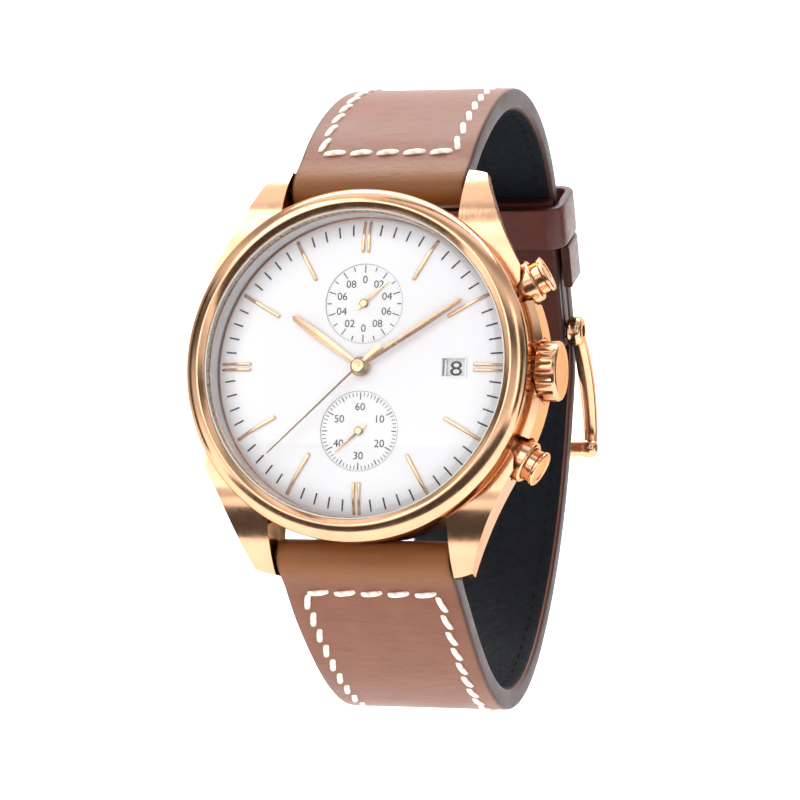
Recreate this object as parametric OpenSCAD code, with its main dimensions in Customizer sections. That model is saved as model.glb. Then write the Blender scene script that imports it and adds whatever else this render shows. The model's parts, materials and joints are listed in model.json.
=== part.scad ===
// Chronograph wristwatch with its leather strap buckled into a loop, standing
// upright. +X points to the crown, +Z to 12 o'clock and -Y out of the dial.
// The origin is the centre of the case back's outer face. Millimetres.

/* [Case] */
// Outer diameter of the bezel
bezel_d = 42.5; // [41:0.5:52]
// Height from the case back's face to the bezel's inner edge
case_h = 12; // [11:0.25:14.5]
// Thickness of the case back in the middle
case_back_t = 1; // [0.8:0.1:1.4]
// Diameter of the case back
case_back_d = 36; // [35:0.5:37]
// Distance between the tips of opposite lugs
lug_span = 49.6; // [47:0.2:58]
// How far the bezel stands out past the middle case
bezel_overhang = 0.45; // [0.3:0.05:0.8]
// Width of the bezel's sloping face, seen from the front
bezel_band = 1.7; // [1.2:0.1:2.2]
// Width of the narrow inner slope of the bezel
bezel_inner_band = 0.85; // [0.6:0.05:1.2]

/* [Crystal] */
// Thickness of the crystal at its rim
crystal_t = 1.6; // [1.2:0.1:2]
// Rise of the crystal's dome
crystal_dome = 0.35; // [0.2:0.05:0.6]
// Thickness of the gasket round the crystal
crystal_gasket_t = 0.2; // [0.15:0.05:0.3]

/* [Dial] */
// Height of the dial's flat face over the case back's face
dial_top = 8; // [7.9:0.1:8.4]
// Thickness of the dial
dial_t = 0.4; // [0.3:0.05:0.4]
// Radius at which the dial starts to curve down
dial_flat_r = 14.8; // [14:0.2:15.4]
// Drop of the dial's curved rim
dial_drop = 0.8; // [0.6:0.05:0.8]
// Distance from the centre to each sub-dial
subdial_y = 7.7; // [7.4:0.05:7.8]
// Diameter of a sub-dial
subdial_d = 9.7; // [8:0.1:10]
// Depth of a sub-dial's recess
subdial_sink = 0.15; // [0.1:0.05:0.2]
// Distance from the centre to the middle of the date window
date_x = 11.45; // [11.2:0.05:11.6]
// Width of the date window
date_w = 2.8; // [2.4:0.1:3]
// Height of the date window
date_h = 2.15; // [1.8:0.05:2.4]

/* [Hands] */
// Length of the hour hand from the centre
hour_len = 10.7; // [9:0.1:11.8]
// Length of the minute hand from the centre
minute_len = 14.9; // [13:0.1:16.5]
// Length of the chronograph seconds hand from the centre
chrono_len = 15.4; // [13:0.1:16.5]
// Length of a sub-dial hand
small_hand_len = 3.9; // [3:0.1:4.3]
// Minute shown, past the hour of ten
minute_shown = 9.5; // [0:0.5:59]
// Second shown by the small seconds hand
second_shown = 38; // [0:1:59]
// Angle of the chronograph seconds hand from 12 o'clock
chrono_angle = 226; // [0:1:359]
// Angle of the counter hand from 12 o'clock
counter_angle = 48; // [0:1:359]

/* [Movement] */
// Diameter of the movement
movement_d = 30.4; // [30.4:0.2:31.6]
// Height of the crown's axis over the case back's face
stem_z = 4.8; // [4.6:0.05:4.9]
// Diameter of the battery
battery_d = 9.5; // [7.9:0.1:9.5]
// Thickness of the battery
battery_t = 2; // [1.6:0.1:2.05]

/* [Crown] */
// Diameter of the crown
crown_d = 7.2; // [6:0.1:7.4]
// Length of the crown
crown_l = 2.7; // [2.5:0.1:4]
// Number of flutes round the crown
crown_flutes = 24; // [18:1:32]
// How far the crown pulls out
crown_pull = 0.8; // [0.5:0.1:0.8]
// Diameter of the stem
stem_d = 1.2; // [1:0.05:1.3]
// Outer diameter of the crown's tube
crown_tube_d = 2.6; // [2.4:0.1:2.8]

/* [Pushers] */
// Angle of each pusher above or below 3 o'clock
pusher_angle = 28.5; // [26:0.5:31]
// Diameter of a pusher's fixed collar
collar_d = 5.2; // [4.6:0.1:5.4]
// Length of the collar outside the case
collar_l = 2.7; // [2.4:0.1:3.2]
// Diameter of the pusher's cap
cap_d = 4; // [3.4:0.1:4.1]
// How far the cap stands out of its collar
cap_out = 1.6; // [1.4:0.1:2]
// Travel of a pusher
pusher_travel = 0.9; // [0.6:0.05:1]
// Diameter of the tube that holds the pusher in the case
pusher_tube_d = 3; // [2.8:0.1:3.2]
// Diameter of the pusher's stem
pusher_stem_d = 1.6; // [1.4:0.05:1.7]

/* [Strap] */
// Width of the strap between the lugs
strap_w = 22; // [18:0.5:24]
// Width of the strap at the buckle
strap_end_w = 20.2; // [16:0.2:22]
// Thickness of the outer leather
leather_t = 1.7; // [1.2:0.1:2.1]
// Thickness of the lining
lining_t = 1.1; // [0.8:0.1:1.4]
// Gap between the strap and each lug
strap_side_gap = 0.2; // [0.1:0.05:0.4]
// Length of the leather flap folded back from the buckle
flap_len = 19.5; // [17:0.5:21]
// Thickness of the folded flap
flap_t = 1.4; // [1:0.1:1.6]
// Length of the strap's free end past the buckle's bar
tail_len = 16.5; // [12:0.5:18]

/* [Keepers and buckle] */
// Length of a keeper along the strap
keeper_l = 5.8; // [4.5:0.1:6]
// Thickness of a keeper's leather
keeper_t = 1.2; // [0.9:0.1:1.5]
// Slack inside a keeper, on each side
keeper_slack = 0.3; // [0.2:0.05:0.5]
// Travel of the free keeper
keeper_travel = 1.6; // [0.5:0.1:1.8]
// Thickness of the buckle's frame
frame_t = 2; // [1.6:0.1:2.2]
// Width of the buckle's tongue
tongue_w = 2; // [1.6:0.1:2.2]
// Thickness of the buckle's tongue
tongue_t = 1.1; // [0.9:0.1:1.2]
// Diameter of a spring bar's body
spring_bar_d = 1.5; // [1.3:0.1:1.6]
// Diameter of a spring bar's end pin
bar_pin_d = 1.1; // [0.8:0.1:1.1]

/* [Hidden] */
$fn = 48;
eps = 0.01;

// Fits: running_fit is a radial clearance, hole_slack is for leather on a bar
running_fit = 0.03;
hole_slack = 0.05;

// Case levels, as heights over the case back's face
bezel_bottom = dial_top + 0.1;
crystal_top = case_h;
crystal_seat = crystal_top - crystal_t;
crystal_r = bezel_d / 2 - bezel_band - bezel_inner_band - crystal_gasket_t - 0.05;
seat_r = crystal_r + crystal_gasket_t;
seat_ledge = 0.25;
opening_r = crystal_r - seat_ledge;
dial_r = opening_r;
dial_slack = 0.15;
mid_r = bezel_d / 2 - bezel_overhang;
mid_bottom = 0.7;
back_recess_top = 1.5;
back_rim_t = 0.8;
dial_ledge = dial_top - dial_drop - dial_t;
movement_r = movement_d / 2;
cavity_r = movement_r + 1.7;
gasket_r = (cavity_r + case_back_d / 2) / 2;
gasket_w = 0.5;

// Lugs
lug_gap = strap_w + 2 * strap_side_gap;
// Radius that rounds the end of a lug in plan
lug_end_r = 10;
lug_arc_r = 13.45;
lug_arc_y = lug_span / 2 - 10.3;
lug_waist_r = 47;
// How far the lug's outer side leans in towards its foot
lug_undercut = 1.1;
lug_bottom = 0.2;
bar_y = lug_span / 2 - 2.4;
bar_z = 2.6;
bar_hole_depth = 1.1;

// Movement levels
bridge_z = 2.95;
bridge_t = 0.55;
board_t = 0.3;
train_z = bridge_z + bridge_t;
plate_z = 5.5;
plate_t = 0.8;
plate_top = plate_z + plate_t;
plate_rim_z = dial_top - dial_t - 0.25;
date_ring_z = plate_top + 0.4;
date_ring_t = 0.3;
motion_z = plate_top + 0.1;
hour_wheel_z = motion_z + 0.38;
guard_z = hour_wheel_z + 0.48;
guard_t = 0.15;
screw_angles = [20, 135, 200, 310];
screw_circle_r = movement_r - 1.5;
screw_r = 0.4;
pillar_r = 0.9;

// Wheel train: tooth counts and modules
tooth_high = 0.8;
tooth_deep = 1.1;
center_teeth = 60;
third_pinion_teeth = 8;
third_teeth = 64;
fourth_pinion_teeth = 8;
relay_teeth = 36;
relay_pinion_teeth = 8;
fourth_teeth = 40;
rotor_teeth = 6;
counter_rotor_teeth = 8;
cannon_teeth = 12;
minute_teeth = 36;
minute_pinion_teeth = 10;
hour_teeth = 40;
hour_pinion_teeth = 20;
date_teeth = 40;
center_module = 0.14;
third_module = 0.12;
motor_module = 0.12;
cannon_module = 0.16;
hour_module = cannon_module * (cannon_teeth + minute_teeth) / (minute_pinion_teeth + hour_teeth);
date_module = 0.16;
arbor_r = 0.15;
post_r = 0.22;

// Where the train's arbors stand, in the dial's plane
center_third = center_module * (center_teeth + third_pinion_teeth) / 2;
third_fourth = third_module * (third_teeth + fourth_pinion_teeth) / 2;
third_y = (pow(center_third, 2) - pow(third_fourth, 2) + pow(subdial_y, 2)) / (2 * subdial_y);
third_at = [sqrt(pow(center_third, 2) - pow(third_y, 2)), -third_y];
fourth_at = [0, -subdial_y];
wheel_step = motor_module * (fourth_teeth + relay_pinion_teeth) / 2;
rotor_step = motor_module * (relay_teeth + rotor_teeth) / 2;
fifth_angle = 200;
drive_rotor_angle = 170;
relay_angle = 45;
counter_rotor_angle = 150;
fifth_at = fourth_at + wheel_step * ray(fifth_angle);
drive_rotor_at = fifth_at + rotor_step * ray(drive_rotor_angle);
relay_at = wheel_step * ray(relay_angle);
chrono_rotor_at = relay_at + rotor_step * ray(relay_angle);
counter_at = [0, subdial_y];
counter_step = motor_module * (fourth_teeth + counter_rotor_teeth) / 2;
counter_rotor_at = counter_at + counter_step * ray(counter_rotor_angle);
rotors_at = [drive_rotor_at, chrono_rotor_at, counter_rotor_at];
minute_wheel_angle = 160;
minute_wheel_at = cannon_module * (cannon_teeth + minute_teeth) / 2 * ray(minute_wheel_angle);
date_wheel_angle = 25;
date_wheel_at = date_module * (hour_pinion_teeth + date_teeth) / 2 * ray(date_wheel_angle);
battery_at = [-9.3, 3.1];

// Levels of the wheels
relay_z = 3.7;
fourth_z = 4.1;
third_z = 4.6;
center_z = 5.1;
wheel_t = 0.2;

// Hands: level of each hand's underside and radius of the tube it sits on
hand_t = 0.2;
chrono_post_r = 0.2;
cannon_bore_r = 0.25;
cannon_r = 0.5;
hour_bore_r = 0.55;
hour_pipe_r = 0.82;
hour_hand_z = dial_top + 0.5;
minute_hand_z = dial_top + 0.95;
chrono_hand_z = dial_top + 1.4;
small_hand_z = dial_top + 0.1;
minute_angle = 6 * minute_shown;
hour_angle = 300 + minute_shown / 2;
small_seconds_angle = 6 * second_shown;

// Crown, measured outward from the hand axis
crown_in = mid_r + 0.45;
crown_out = crown_in + crown_l;
crown_cavity_r = crown_tube_d / 2 + 0.45;
crown_wall = 0.7;
crown_tube_out = crown_out - crown_wall - 0.45;
flute_out = crown_out - 0.55;
stem_in = 8.6;
clutch_in = 9.3;
clutch_l = 1.4;
clutch_teeth = 14;
stem_neck_r = 0.42;
stem_step = clutch_in + clutch_l + 0.6;

// Pushers, measured outward from the hand axis
collar_in = mid_r - 0.3;
collar_out = collar_in + collar_l;
cap_bore_r = cap_d / 2 + running_fit;
cap_seat = collar_in + 0.4;
cap_in = collar_out - 0.9;
cap_end = collar_out + cap_out;
pusher_bore_r = pusher_stem_d / 2 + running_fit;
clip_t = 0.3;
tube_in = cavity_r - 0.3;
stem_tip = tube_in - clip_t - 0.3;
spring_wire_r = 0.14;
spring_turns = 3.5;

// Strap routes in the Y-Z plane: start, heading, then [length, turn] pairs.
// Headings are degrees from +Y towards +Z.
strap_t = leather_t + lining_t;
route_step = 1.5;
keeper_run = 17.6;
arch_12 = [
    [5, -12], [6, -11], [9, -12], [8, -14], [8, -17],
    [9, -21], [7, -18], [5, -17], [keeper_run, 0]
];
arch_6 = [
    [5, 5], [6, 5], [9, 6], [9, 14], [9, 25],
    [9, 23], [9, 17], [10, 12], [10, 10], [12, 11]
];
route_12 = walk([-bar_z, bar_y, 62], arch_12);
route_6 = walk([-bar_z, -bar_y, -44], arch_6);
end_12 = last(route_12);
end_6 = last(route_6);
keeper_tilt = 90 + end_12[2];

// Layers of the buckled strap, outward from the buckle half's middle plane
half_t = strap_t / 2;
tail_gap = 0.12;
tail_in = half_t + tail_gap;
tail_out = tail_in + strap_t;
flap_in = -half_t - flap_t;
bar_r = spring_bar_d / 2;
lug_roll_r = bar_r + hole_slack + 1.3;
buckle_roll_r = bar_r + hole_slack + flap_t;
bar_sink = buckle_roll_r - half_t;
buckle_bar = [
    end_12[0] + bar_sink * sin(end_12[2]),
    end_12[1] - bar_sink * cos(end_12[2])
];
tail_start = [
    end_12[0] - (tail_in + half_t) * sin(end_12[2]),
    end_12[1] + (tail_in + half_t) * cos(end_12[2]),
    end_12[2] + 180
];
over_bar = bridge_over(end_6, tail_start, 5.5, 10);
tail_line = walk(tail_start, [[tail_len, 0]]);
route_long = concat(route_6, over_bar, tail_line);

// The flap's route: the strap's own, up from the buckle
flap_route = [for (p = route_12) if (norm([p[0] - end_12[0], p[1] - end_12[1]]) < flap_len) p];

// Keepers, as distances up the strap from the buckle's bar
fixed_keeper_at = 6.6;
free_keeper_at = fixed_keeper_at + keeper_l + 0.5;
keeper_band_t = 0.5;
keeper_half = strap_end_w / 2 + keeper_slack + 0.15;

// Buckle: its frame's arms and its tongue start at the bar
frame_route = walk([buckle_bar[0], buckle_bar[1], -24], [[5, -18], [6, -14], [5.2, -14], [3, -30]]);
crossbar = last(frame_route);
crossbar_r = 1.2;
crossbar_neck_r = 0.7;
frame_inner_half = strap_end_w / 2 + 0.3;
frame_arm_w = 2.1;
frame_eye_r = 2;
tongue_route = walk([buckle_bar[0], buckle_bar[1], -44], [[9, -4], [5, -4], [5, -12]]);
tongue_eye_r = bar_r + running_fit + 0.75;
tongue_slot_w = tongue_w + 1.2;
tongue_hole_w = tongue_w + 0.7;

// ---- Helpers ----

function ray(a) = [cos(a), sin(a)];
function last(v) = v[len(v) - 1];
function reversed(v) = [for (i = [len(v) - 1 : -1 : 0]) v[i]];

// A route is a list of [y, z, heading]; advance takes one step along an arc
function advance(p, run, turn) = [
    p[0] + run * cos(p[2] + turn / 2),
    p[1] + run * sin(p[2] + turn / 2),
    p[2] + turn
];
function arc_steps(p, run, turn, n) =
    n == 0 ? [] : let (q = advance(p, run, turn)) concat([q], arc_steps(q, run, turn, n - 1));
function leg(p, run, turn) =
    let (n = max(1, round(run / route_step))) arc_steps(p, run / n, turn / n, n);
function legs(p, pairs, i) =
    i == len(pairs) ? [] :
    let (stretch = leg(p, pairs[i][0], pairs[i][1]))
    concat(stretch, legs(last(stretch), pairs, i + 1));
function walk(p, pairs) = concat([p], legs(p, pairs, 0));

// A smooth curve between two route points, without its end points
function bridge_over(a, b, reach, n) =
    let (
        p1 = [a[0] + reach * cos(a[2]), a[1] + reach * sin(a[2])],
        p2 = [b[0] - reach * cos(b[2]), b[1] - reach * sin(b[2])]
    )
    [for (i = [1 : n - 1]) curve_point(a, p1, p2, b, i / n)];
function curve_point(a, p1, p2, b, t) =
    let (
        u = 1 - t,
        k = [u * u * u, 3 * u * u * t, 3 * u * t * t, t * t * t],
        dy = u * u * (p1[0] - a[0]) + 2 * u * t * (p2[0] - p1[0]) + t * t * (b[0] - p2[0]),
        dz = u * u * (p1[1] - a[1]) + 2 * u * t * (p2[1] - p1[1]) + t * t * (b[1] - p2[1])
    )
    [
        k[0] * a[0] + k[1] * p1[0] + k[2] * p2[0] + k[3] * b[0],
        k[0] * a[1] + k[1] * p1[1] + k[2] * p2[1] + k[3] * b[1],
        atan2(dz, dy)
    ];

// Points beside a route; positive is left of the way it heads
function beside(route, d) = [for (p = route) [p[0] - d * sin(p[2]), p[1] + d * cos(p[2])]];

// Angle of a wheel whose teeth mesh with a wheel of phase_a, standing at phi from it
function meshed(phi, phase_a, teeth_a, teeth_b) =
    phi + 180 + 180 / teeth_b - (phase_a - phi) * teeth_a / teeth_b;

function gear_outline(teeth, m) =
    let (
        r = teeth * m / 2,
        tip = r + tooth_high * m,
        root = r - tooth_deep * m,
        pitch = 360 / teeth
    )
    [for (i = [0 : teeth - 1], k = [0 : 3])
        (k == 0 || k == 3 ? root : tip)
        * ray(i * pitch + pitch * [-0.25, -0.1, 0.1, 0.25][k])];

// Lays the watch face, drawn flat with +Y to 12 o'clock, upright facing -Y
module face_up() {
    rotate([90, 0, 0]) children();
}

// Points +Z outward from the hand axis at the stem's height
module outward(angle) {
    face_up() translate([0, 0, stem_z]) rotate([0, 0, angle]) rotate([0, 90, 0]) children();
}

// Extrudes an outline drawn in the Y-Z plane across the strap's width
module across(width) {
    translate([-width / 2, 0, 0]) rotate([90, 0, 90]) linear_extrude(width) children();
}

// Moves to a place up the strap from the buckle's bar; +Y points away from the wrist
module on_strap(up) {
    translate([0, end_12[0], end_12[1]]) rotate([keeper_tilt, 0, 0]) translate([0, 0, up]) children();
}

module ring(r_out, r_in, z0, z1) {
    translate([0, 0, z0]) difference() {
        cylinder(r = r_out, h = z1 - z0);
        translate([0, 0, -eps]) cylinder(r = r_in, h = z1 - z0 + 2 * eps);
    }
}

module disc(r, z0, z1) {
    translate([0, 0, z0]) cylinder(r = r, h = z1 - z0);
}

module gear(teeth, m, t) {
    linear_extrude(t) polygon(gear_outline(teeth, m));
}

module strip(route, d0, d1) {
    polygon(concat(beside(route, d0), reversed(beside(route, d1))));
}

module round_rect(w, h, r) {
    square([w - 2 * r, h], center = true);
    square([w, h - 2 * r], center = true);
    for (x = [-1, 1], y = [-1, 1]) translate([x * (w / 2 - r), y * (h / 2 - r)]) circle(r);
}

// ---- Case ----

module lug() {
    lug_high = bezel_bottom - lug_bottom;
    chord_mid = [(bezel_d / 2 - 2.5 + lug_gap / 2 + 3.1) / 2, (12.5 + lug_span / 2) / 2];
    waist_at = chord_mid + (lug_waist_r - 0.45) * ray(22.2);
    intersection() {
        difference() {
            translate([lug_gap / 2, 9, lug_bottom]) cube([8, lug_span / 2, lug_high]);
            translate([waist_at[0], waist_at[1], lug_bottom])
                cylinder(r1 = lug_waist_r + lug_undercut, r2 = lug_waist_r, h = lug_high, $fn = 96);
            translate([lug_gap / 2 - 1, bar_y, bar_z]) rotate([0, 90, 0])
                cylinder(d = bar_pin_d + 0.1, h = 1 + bar_hole_depth);
        }
        translate([lug_gap / 2 - 1, lug_span / 2 - lug_end_r, 0]) cylinder(r = lug_end_r, h = 12, $fn = 96);
        union() {
            translate([0, lug_arc_y, bezel_bottom - lug_arc_r]) rotate([0, 90, 0])
                cylinder(r = lug_arc_r, h = 30, $fn = 96);
            cube([30, lug_arc_y, bezel_bottom]);
        }
    }
}

module four_ways() {
    for (x = [0, 1], y = [0, 1]) mirror([x, 0, 0]) mirror([0, y, 0]) children();
}

module crown_guards() {
    guard_r = mid_r + 1.35;
    rotate([0, 0, -22]) rotate_extrude(angle = 44, $fn = 96)
        polygon([
            [mid_r - 1, 1.5], [guard_r - 0.5, 1.5], [guard_r, 2.2],
            [guard_r, 6.5], [guard_r - 0.7, 7.4], [mid_r - 1, 7.4]
        ]);
}

module case_middle() color("#d9a27c") face_up() difference() {
    union() {
        rotate_extrude($fn = 96) polygon([
            [cavity_r, mid_bottom], [mid_r - 1.6, mid_bottom], [mid_r - 0.5, 1.4], [mid_r, 2.4],
            [mid_r, 7.5], [mid_r - 0.2, 7.7], [mid_r - 0.2, bezel_bottom], [cavity_r, bezel_bottom]
        ]);
        four_ways() lug();
        crown_guards();
    }
    disc(cavity_r, 0, 12);
    disc(dial_r + dial_slack, dial_ledge, 12);
    disc(case_back_d / 2 + 0.1, 0, back_recess_top);
    for (s = [-1, 1]) translate([0, s * bar_y, bar_z]) rotate([0, 90, 0])
        cylinder(r = lug_roll_r + 0.1, h = lug_gap, center = true);
    translate([0, 0, stem_z]) rotate([0, 90, 0]) {
        cylinder(d = crown_tube_d, h = 30);
        translate([0, 0, mid_r - 0.15]) cylinder(r = crown_d / 2 + 0.4, h = 10);
    }
    for (s = [-1, 1]) translate([0, 0, stem_z]) rotate([0, 0, s * pusher_angle]) rotate([0, 90, 0]) {
        cylinder(d = pusher_tube_d, h = 30);
        translate([0, 0, collar_in]) cylinder(r = collar_d / 2 + 0.25, h = 10);
    }
}

module bezel() color("#e0a986") face_up() rotate_extrude($fn = 96) {
    r = bezel_d / 2;
    crest_r = r - bezel_band;
    wall_top = case_h - 1.65;
    polygon(concat(
        [[opening_r, bezel_bottom], [mid_r - 0.35, bezel_bottom], [mid_r - 0.35, bezel_bottom + 0.25]],
        [[r - 0.25, bezel_bottom + 0.25], [r, bezel_bottom + 0.5]],
        [for (i = [0 : 6]) let (a = i * 11) [
            r - bezel_band * (1 - cos(a)) / (1 - cos(66)),
            wall_top + (case_h + 0.15 - wall_top) * sin(a) / sin(66)
        ]],
        [[crest_r - 0.2, case_h + 0.15], [seat_r, case_h - 0.25]],
        [[seat_r, crystal_seat], [opening_r, crystal_seat]]
    ));
}

module crystal() color("#dfe8ee", 0.4) face_up() rotate_extrude($fn = 96) polygon([
    [0, crystal_seat], [crystal_r, crystal_seat], [crystal_r, crystal_top - 0.35],
    [crystal_r - 0.7, crystal_top + 0.05], [crystal_r * 0.75, crystal_top + crystal_dome * 0.55],
    [crystal_r * 0.4, crystal_top + crystal_dome * 0.9], [0, crystal_top + crystal_dome]
]);

module crystal_gasket() color("#e8e4dc") face_up() ring(seat_r, crystal_r, crystal_seat, crystal_top - 0.4);

module case_back() color("#c9ccd0") face_up() difference() {
    union() {
        rotate_extrude($fn = 96) polygon([
            [0, 0], [case_back_d / 2 - 2.2, 0], [case_back_d / 2, 0.6],
            [case_back_d / 2, back_recess_top], [0, back_recess_top]
        ]);
        ring(cavity_r - 0.05, cavity_r - 0.05 - back_rim_t, back_recess_top - eps, 2.5);
    }
    disc(cavity_r - 0.05 - back_rim_t, case_back_t, 5);
    ring(gasket_r + gasket_w / 2, gasket_r - gasket_w / 2, back_recess_top - 0.4, 2);
}

module case_back_gasket() color("#2a2a2c") face_up()
    ring(gasket_r + gasket_w / 2, gasket_r - gasket_w / 2, back_recess_top - 0.4, back_recess_top);

// ---- Dial and hands ----

rim_steps = 8;
function rim_r(i) = dial_flat_r + (dial_r - dial_flat_r) * i / rim_steps;
function rim_fall(r) =
    r < dial_flat_r ? 0 : dial_drop * pow((r - dial_flat_r) / (dial_r - dial_flat_r), 2);

module dial() color("#efedea") face_up() difference() {
    rotate_extrude($fn = 96) polygon(concat(
        [[0, dial_top], [dial_flat_r, dial_top]],
        [for (i = [1 : rim_steps]) [rim_r(i), dial_top - rim_fall(rim_r(i))]],
        [for (i = [rim_steps : -1 : 1]) [rim_r(i), dial_top - dial_t - rim_fall(rim_r(i))]],
        [[dial_flat_r, dial_top - dial_t], [0, dial_top - dial_t]]
    ));
    disc(hour_pipe_r + 0.25, 0, 12);
    for (s = [-1, 1]) translate([0, s * subdial_y, 0]) {
        disc(subdial_d / 2, dial_top - subdial_sink, 12);
        disc(0.45, 0, 12);
    }
    translate([date_x, 0, dial_top]) cube([date_w, date_h, 2], center = true);
}

marker_h = 0.3;
marker_w = 0.42;

module marker_bar(in_r, w) {
    rim = [for (i = [0 : rim_steps - 1]) rim_r(i)];
    fall = 0.12 / (last(rim) - rim[0]);
    translate([0, w / 2, 0]) rotate([90, 0, 0]) linear_extrude(w) polygon(concat(
        [[in_r, dial_top], [in_r + 0.12, dial_top + marker_h]],
        [for (r = rim) [r, dial_top + marker_h - rim_fall(r) - fall * (r - rim[0])]],
        [for (r = reversed(rim)) [r, dial_top - rim_fall(r)]]
    ));
}

module applied_markers() color("#d8a478") face_up() {
    for (h = [0 : 11]) rotate([0, 0, 30 * h]) {
        if (h % 3 == 0)
            for (s = [-1, 1]) translate([0, s * 0.34, 0]) marker_bar(13.85, 0.34);
        else
            marker_bar(12.1, marker_w);
    }
    translate([date_x, 0, dial_top]) difference() {
        linear_extrude(0.14) square([date_w + 0.5, date_h + 0.5], center = true);
        translate([0, 0, -1]) linear_extrude(3) square([date_w, date_h], center = true);
    }
}

// A hand points up at angle 0 and turns clockwise; its root is at the hub
module hand_blade(points) {
    linear_extrude(hand_t) polygon(points);
}

module clockwise(angle) {
    rotate([0, 0, -angle]) children();
}

module hour_hand() color("#d8a478") face_up() clockwise(hour_angle) {
    ring(1.25, hour_pipe_r, hour_hand_z, hour_hand_z + 0.3);
    translate([0, 0, hour_hand_z]) difference() {
        hand_blade([
            [-0.32, -0.5], [0.32, -0.5], [0.52, hour_len * 0.6], [0.42, hour_len - 0.5],
            [0, hour_len], [-0.42, hour_len - 0.5], [-0.52, hour_len * 0.6]
        ]);
        translate([0, 0, -1]) cylinder(r = 1.2, h = 3);
    }
}

module minute_hand() color("#d8a478") face_up() clockwise(minute_angle) {
    ring(1.1, cannon_r, minute_hand_z, minute_hand_z + 0.3);
    translate([0, 0, minute_hand_z]) difference() {
        hand_blade([
            [-0.26, -0.5], [0.26, -0.5], [0.4, minute_len * 0.6], [0.32, minute_len - 0.5],
            [0, minute_len], [-0.32, minute_len - 0.5], [-0.4, minute_len * 0.6]
        ]);
        translate([0, 0, -1]) cylinder(r = 1.05, h = 3);
    }
}

module chrono_hand() color("#d8a478") face_up() clockwise(chrono_angle) {
    ring(0.9, chrono_post_r, chrono_hand_z, chrono_hand_z + 0.35);
    translate([0, 0, chrono_hand_z]) difference() {
        hand_blade([
            [-0.12, 0], [0.12, 0], [0.08, chrono_len - 0.2], [0, chrono_len], [-0.08, chrono_len - 0.2]
        ]);
        translate([0, 0, -1]) cylinder(r = 0.85, h = 3);
    }
    translate([0, 0, chrono_hand_z]) difference() {
        hand_blade([[-0.14, 0], [0.14, 0], [0.32, -3.4], [0.2, -3.7], [-0.2, -3.7], [-0.32, -3.4]]);
        translate([0, 0, -1]) cylinder(r = 0.85, h = 3);
    }
}

module small_hand() {
    ring(0.5, arbor_r, small_hand_z, small_hand_z + 0.25);
    translate([0, 0, small_hand_z]) linear_extrude(0.15) difference() {
        polygon([
            [-0.16, -1.1], [0.16, -1.1], [0.16, 0],
            [0.06, small_hand_len], [-0.06, small_hand_len], [-0.16, 0]
        ]);
        circle(0.45);
    }
}

module small_seconds_hand() color("#d8a478") face_up()
    translate(fourth_at) clockwise(small_seconds_angle) small_hand();

module counter_hand() color("#d8a478") face_up()
    translate(counter_at) clockwise(counter_angle) small_hand();

// ---- Movement ----

module movement_holder() color("#e6e2da") face_up() difference() {
    ring(cavity_r - 0.05, movement_r + 0.05, 2.6, dial_ledge);
    translate([0, 0, stem_z]) rotate([0, 90, 0]) cylinder(r = 1.6, h = 30);
    for (s = [-1, 1]) translate([0, 0, stem_z]) rotate([0, 0, s * pusher_angle]) rotate([0, 90, 0])
        cylinder(d = pusher_tube_d + 0.3, h = 30);
}

// Holes through the plate or the bridge for the train's arbors
module arbor_holes(r) {
    for (at = concat([third_at, fifth_at], rotors_at)) translate(at) disc(r, 0, 12);
}

module main_plate() color("#cbb98c") face_up() {
    difference() {
        union() {
            disc(movement_r, plate_z, plate_top);
            ring(movement_r, date_ring_out + 0.15, plate_top - eps, plate_rim_z);
            for (a = screw_angles) translate(screw_circle_r * ray(a)) disc(pillar_r, train_z, plate_z + eps);
            translate(minute_wheel_at) disc(0.3, plate_top - eps, guard_z);
            translate(date_wheel_at) disc(0.3, plate_top - eps, guard_z);
        }
        arbor_holes(arbor_r + running_fit);
        disc(cannon_r + 0.1, 0, 12);
        for (s = [-1, 1]) translate([0, s * subdial_y, 0]) disc(arbor_r + running_fit, 0, 12);
        for (a = screw_angles) translate(screw_circle_r * ray(a)) disc(screw_r, 0, plate_z + 0.5);
        // Room for the pushers' stems and clips when they are pressed
        for (s = [-1, 1]) translate([0, 0, stem_z]) rotate([0, 0, s * pusher_angle])
            rotate([0, 90, 0]) translate([0, 0, stem_tip - pusher_travel - 0.15])
                cylinder(d = pusher_tube_d + 0.2, h = 10);
    }
}

module train_bridge() color("#d9dadc") face_up() {
    difference() {
        disc(movement_r - 0.3, bridge_z, train_z);
        arbor_holes(arbor_r + running_fit);
        disc(chrono_post_r + running_fit, 0, 12);
        for (s = [-1, 1]) translate([0, s * subdial_y, 0]) disc(arbor_r + running_fit, 0, 12);
        for (a = screw_angles) translate(screw_circle_r * ray(a)) disc(screw_r, 0, 12);
        translate(battery_at) disc(battery_d / 2 + 0.2, 0, 12);
    }
    translate(relay_at) disc(post_r, train_z - eps, relay_z + 0.75);
}

module bridge_screws() color("#8d9299") face_up()
    for (a = screw_angles) translate(screw_circle_r * ray(a)) difference() {
        union() {
            disc(0.75, bridge_z - 0.35, bridge_z);
            disc(screw_r, bridge_z - eps, plate_z + 0.45);
        }
        translate([-1, -0.1, bridge_z - 0.5]) cube([2, 0.2, 0.3]);
    }

module battery() color("#c5c8cc") face_up() translate(battery_at) {
    disc(battery_d / 2, plate_z - battery_t, plate_z - 0.3);
    disc(battery_d / 2 - 0.6, plate_z - 0.3 - eps, plate_z);
}

board_angles = [-75, 62];
module circuit_board() color("#3d6b47") face_up() difference() {
    rotate([0, 0, board_angles[0]]) rotate_extrude(angle = board_angles[1] - board_angles[0], $fn = 96)
        translate([5, bridge_z - board_t]) square([movement_r - 6.2, board_t]);
    for (a = screw_angles) translate(screw_circle_r * ray(a)) disc(1, 0, 12);
    for (at = rotors_at) translate(at) disc(0.5, 0, 12);
}

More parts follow.
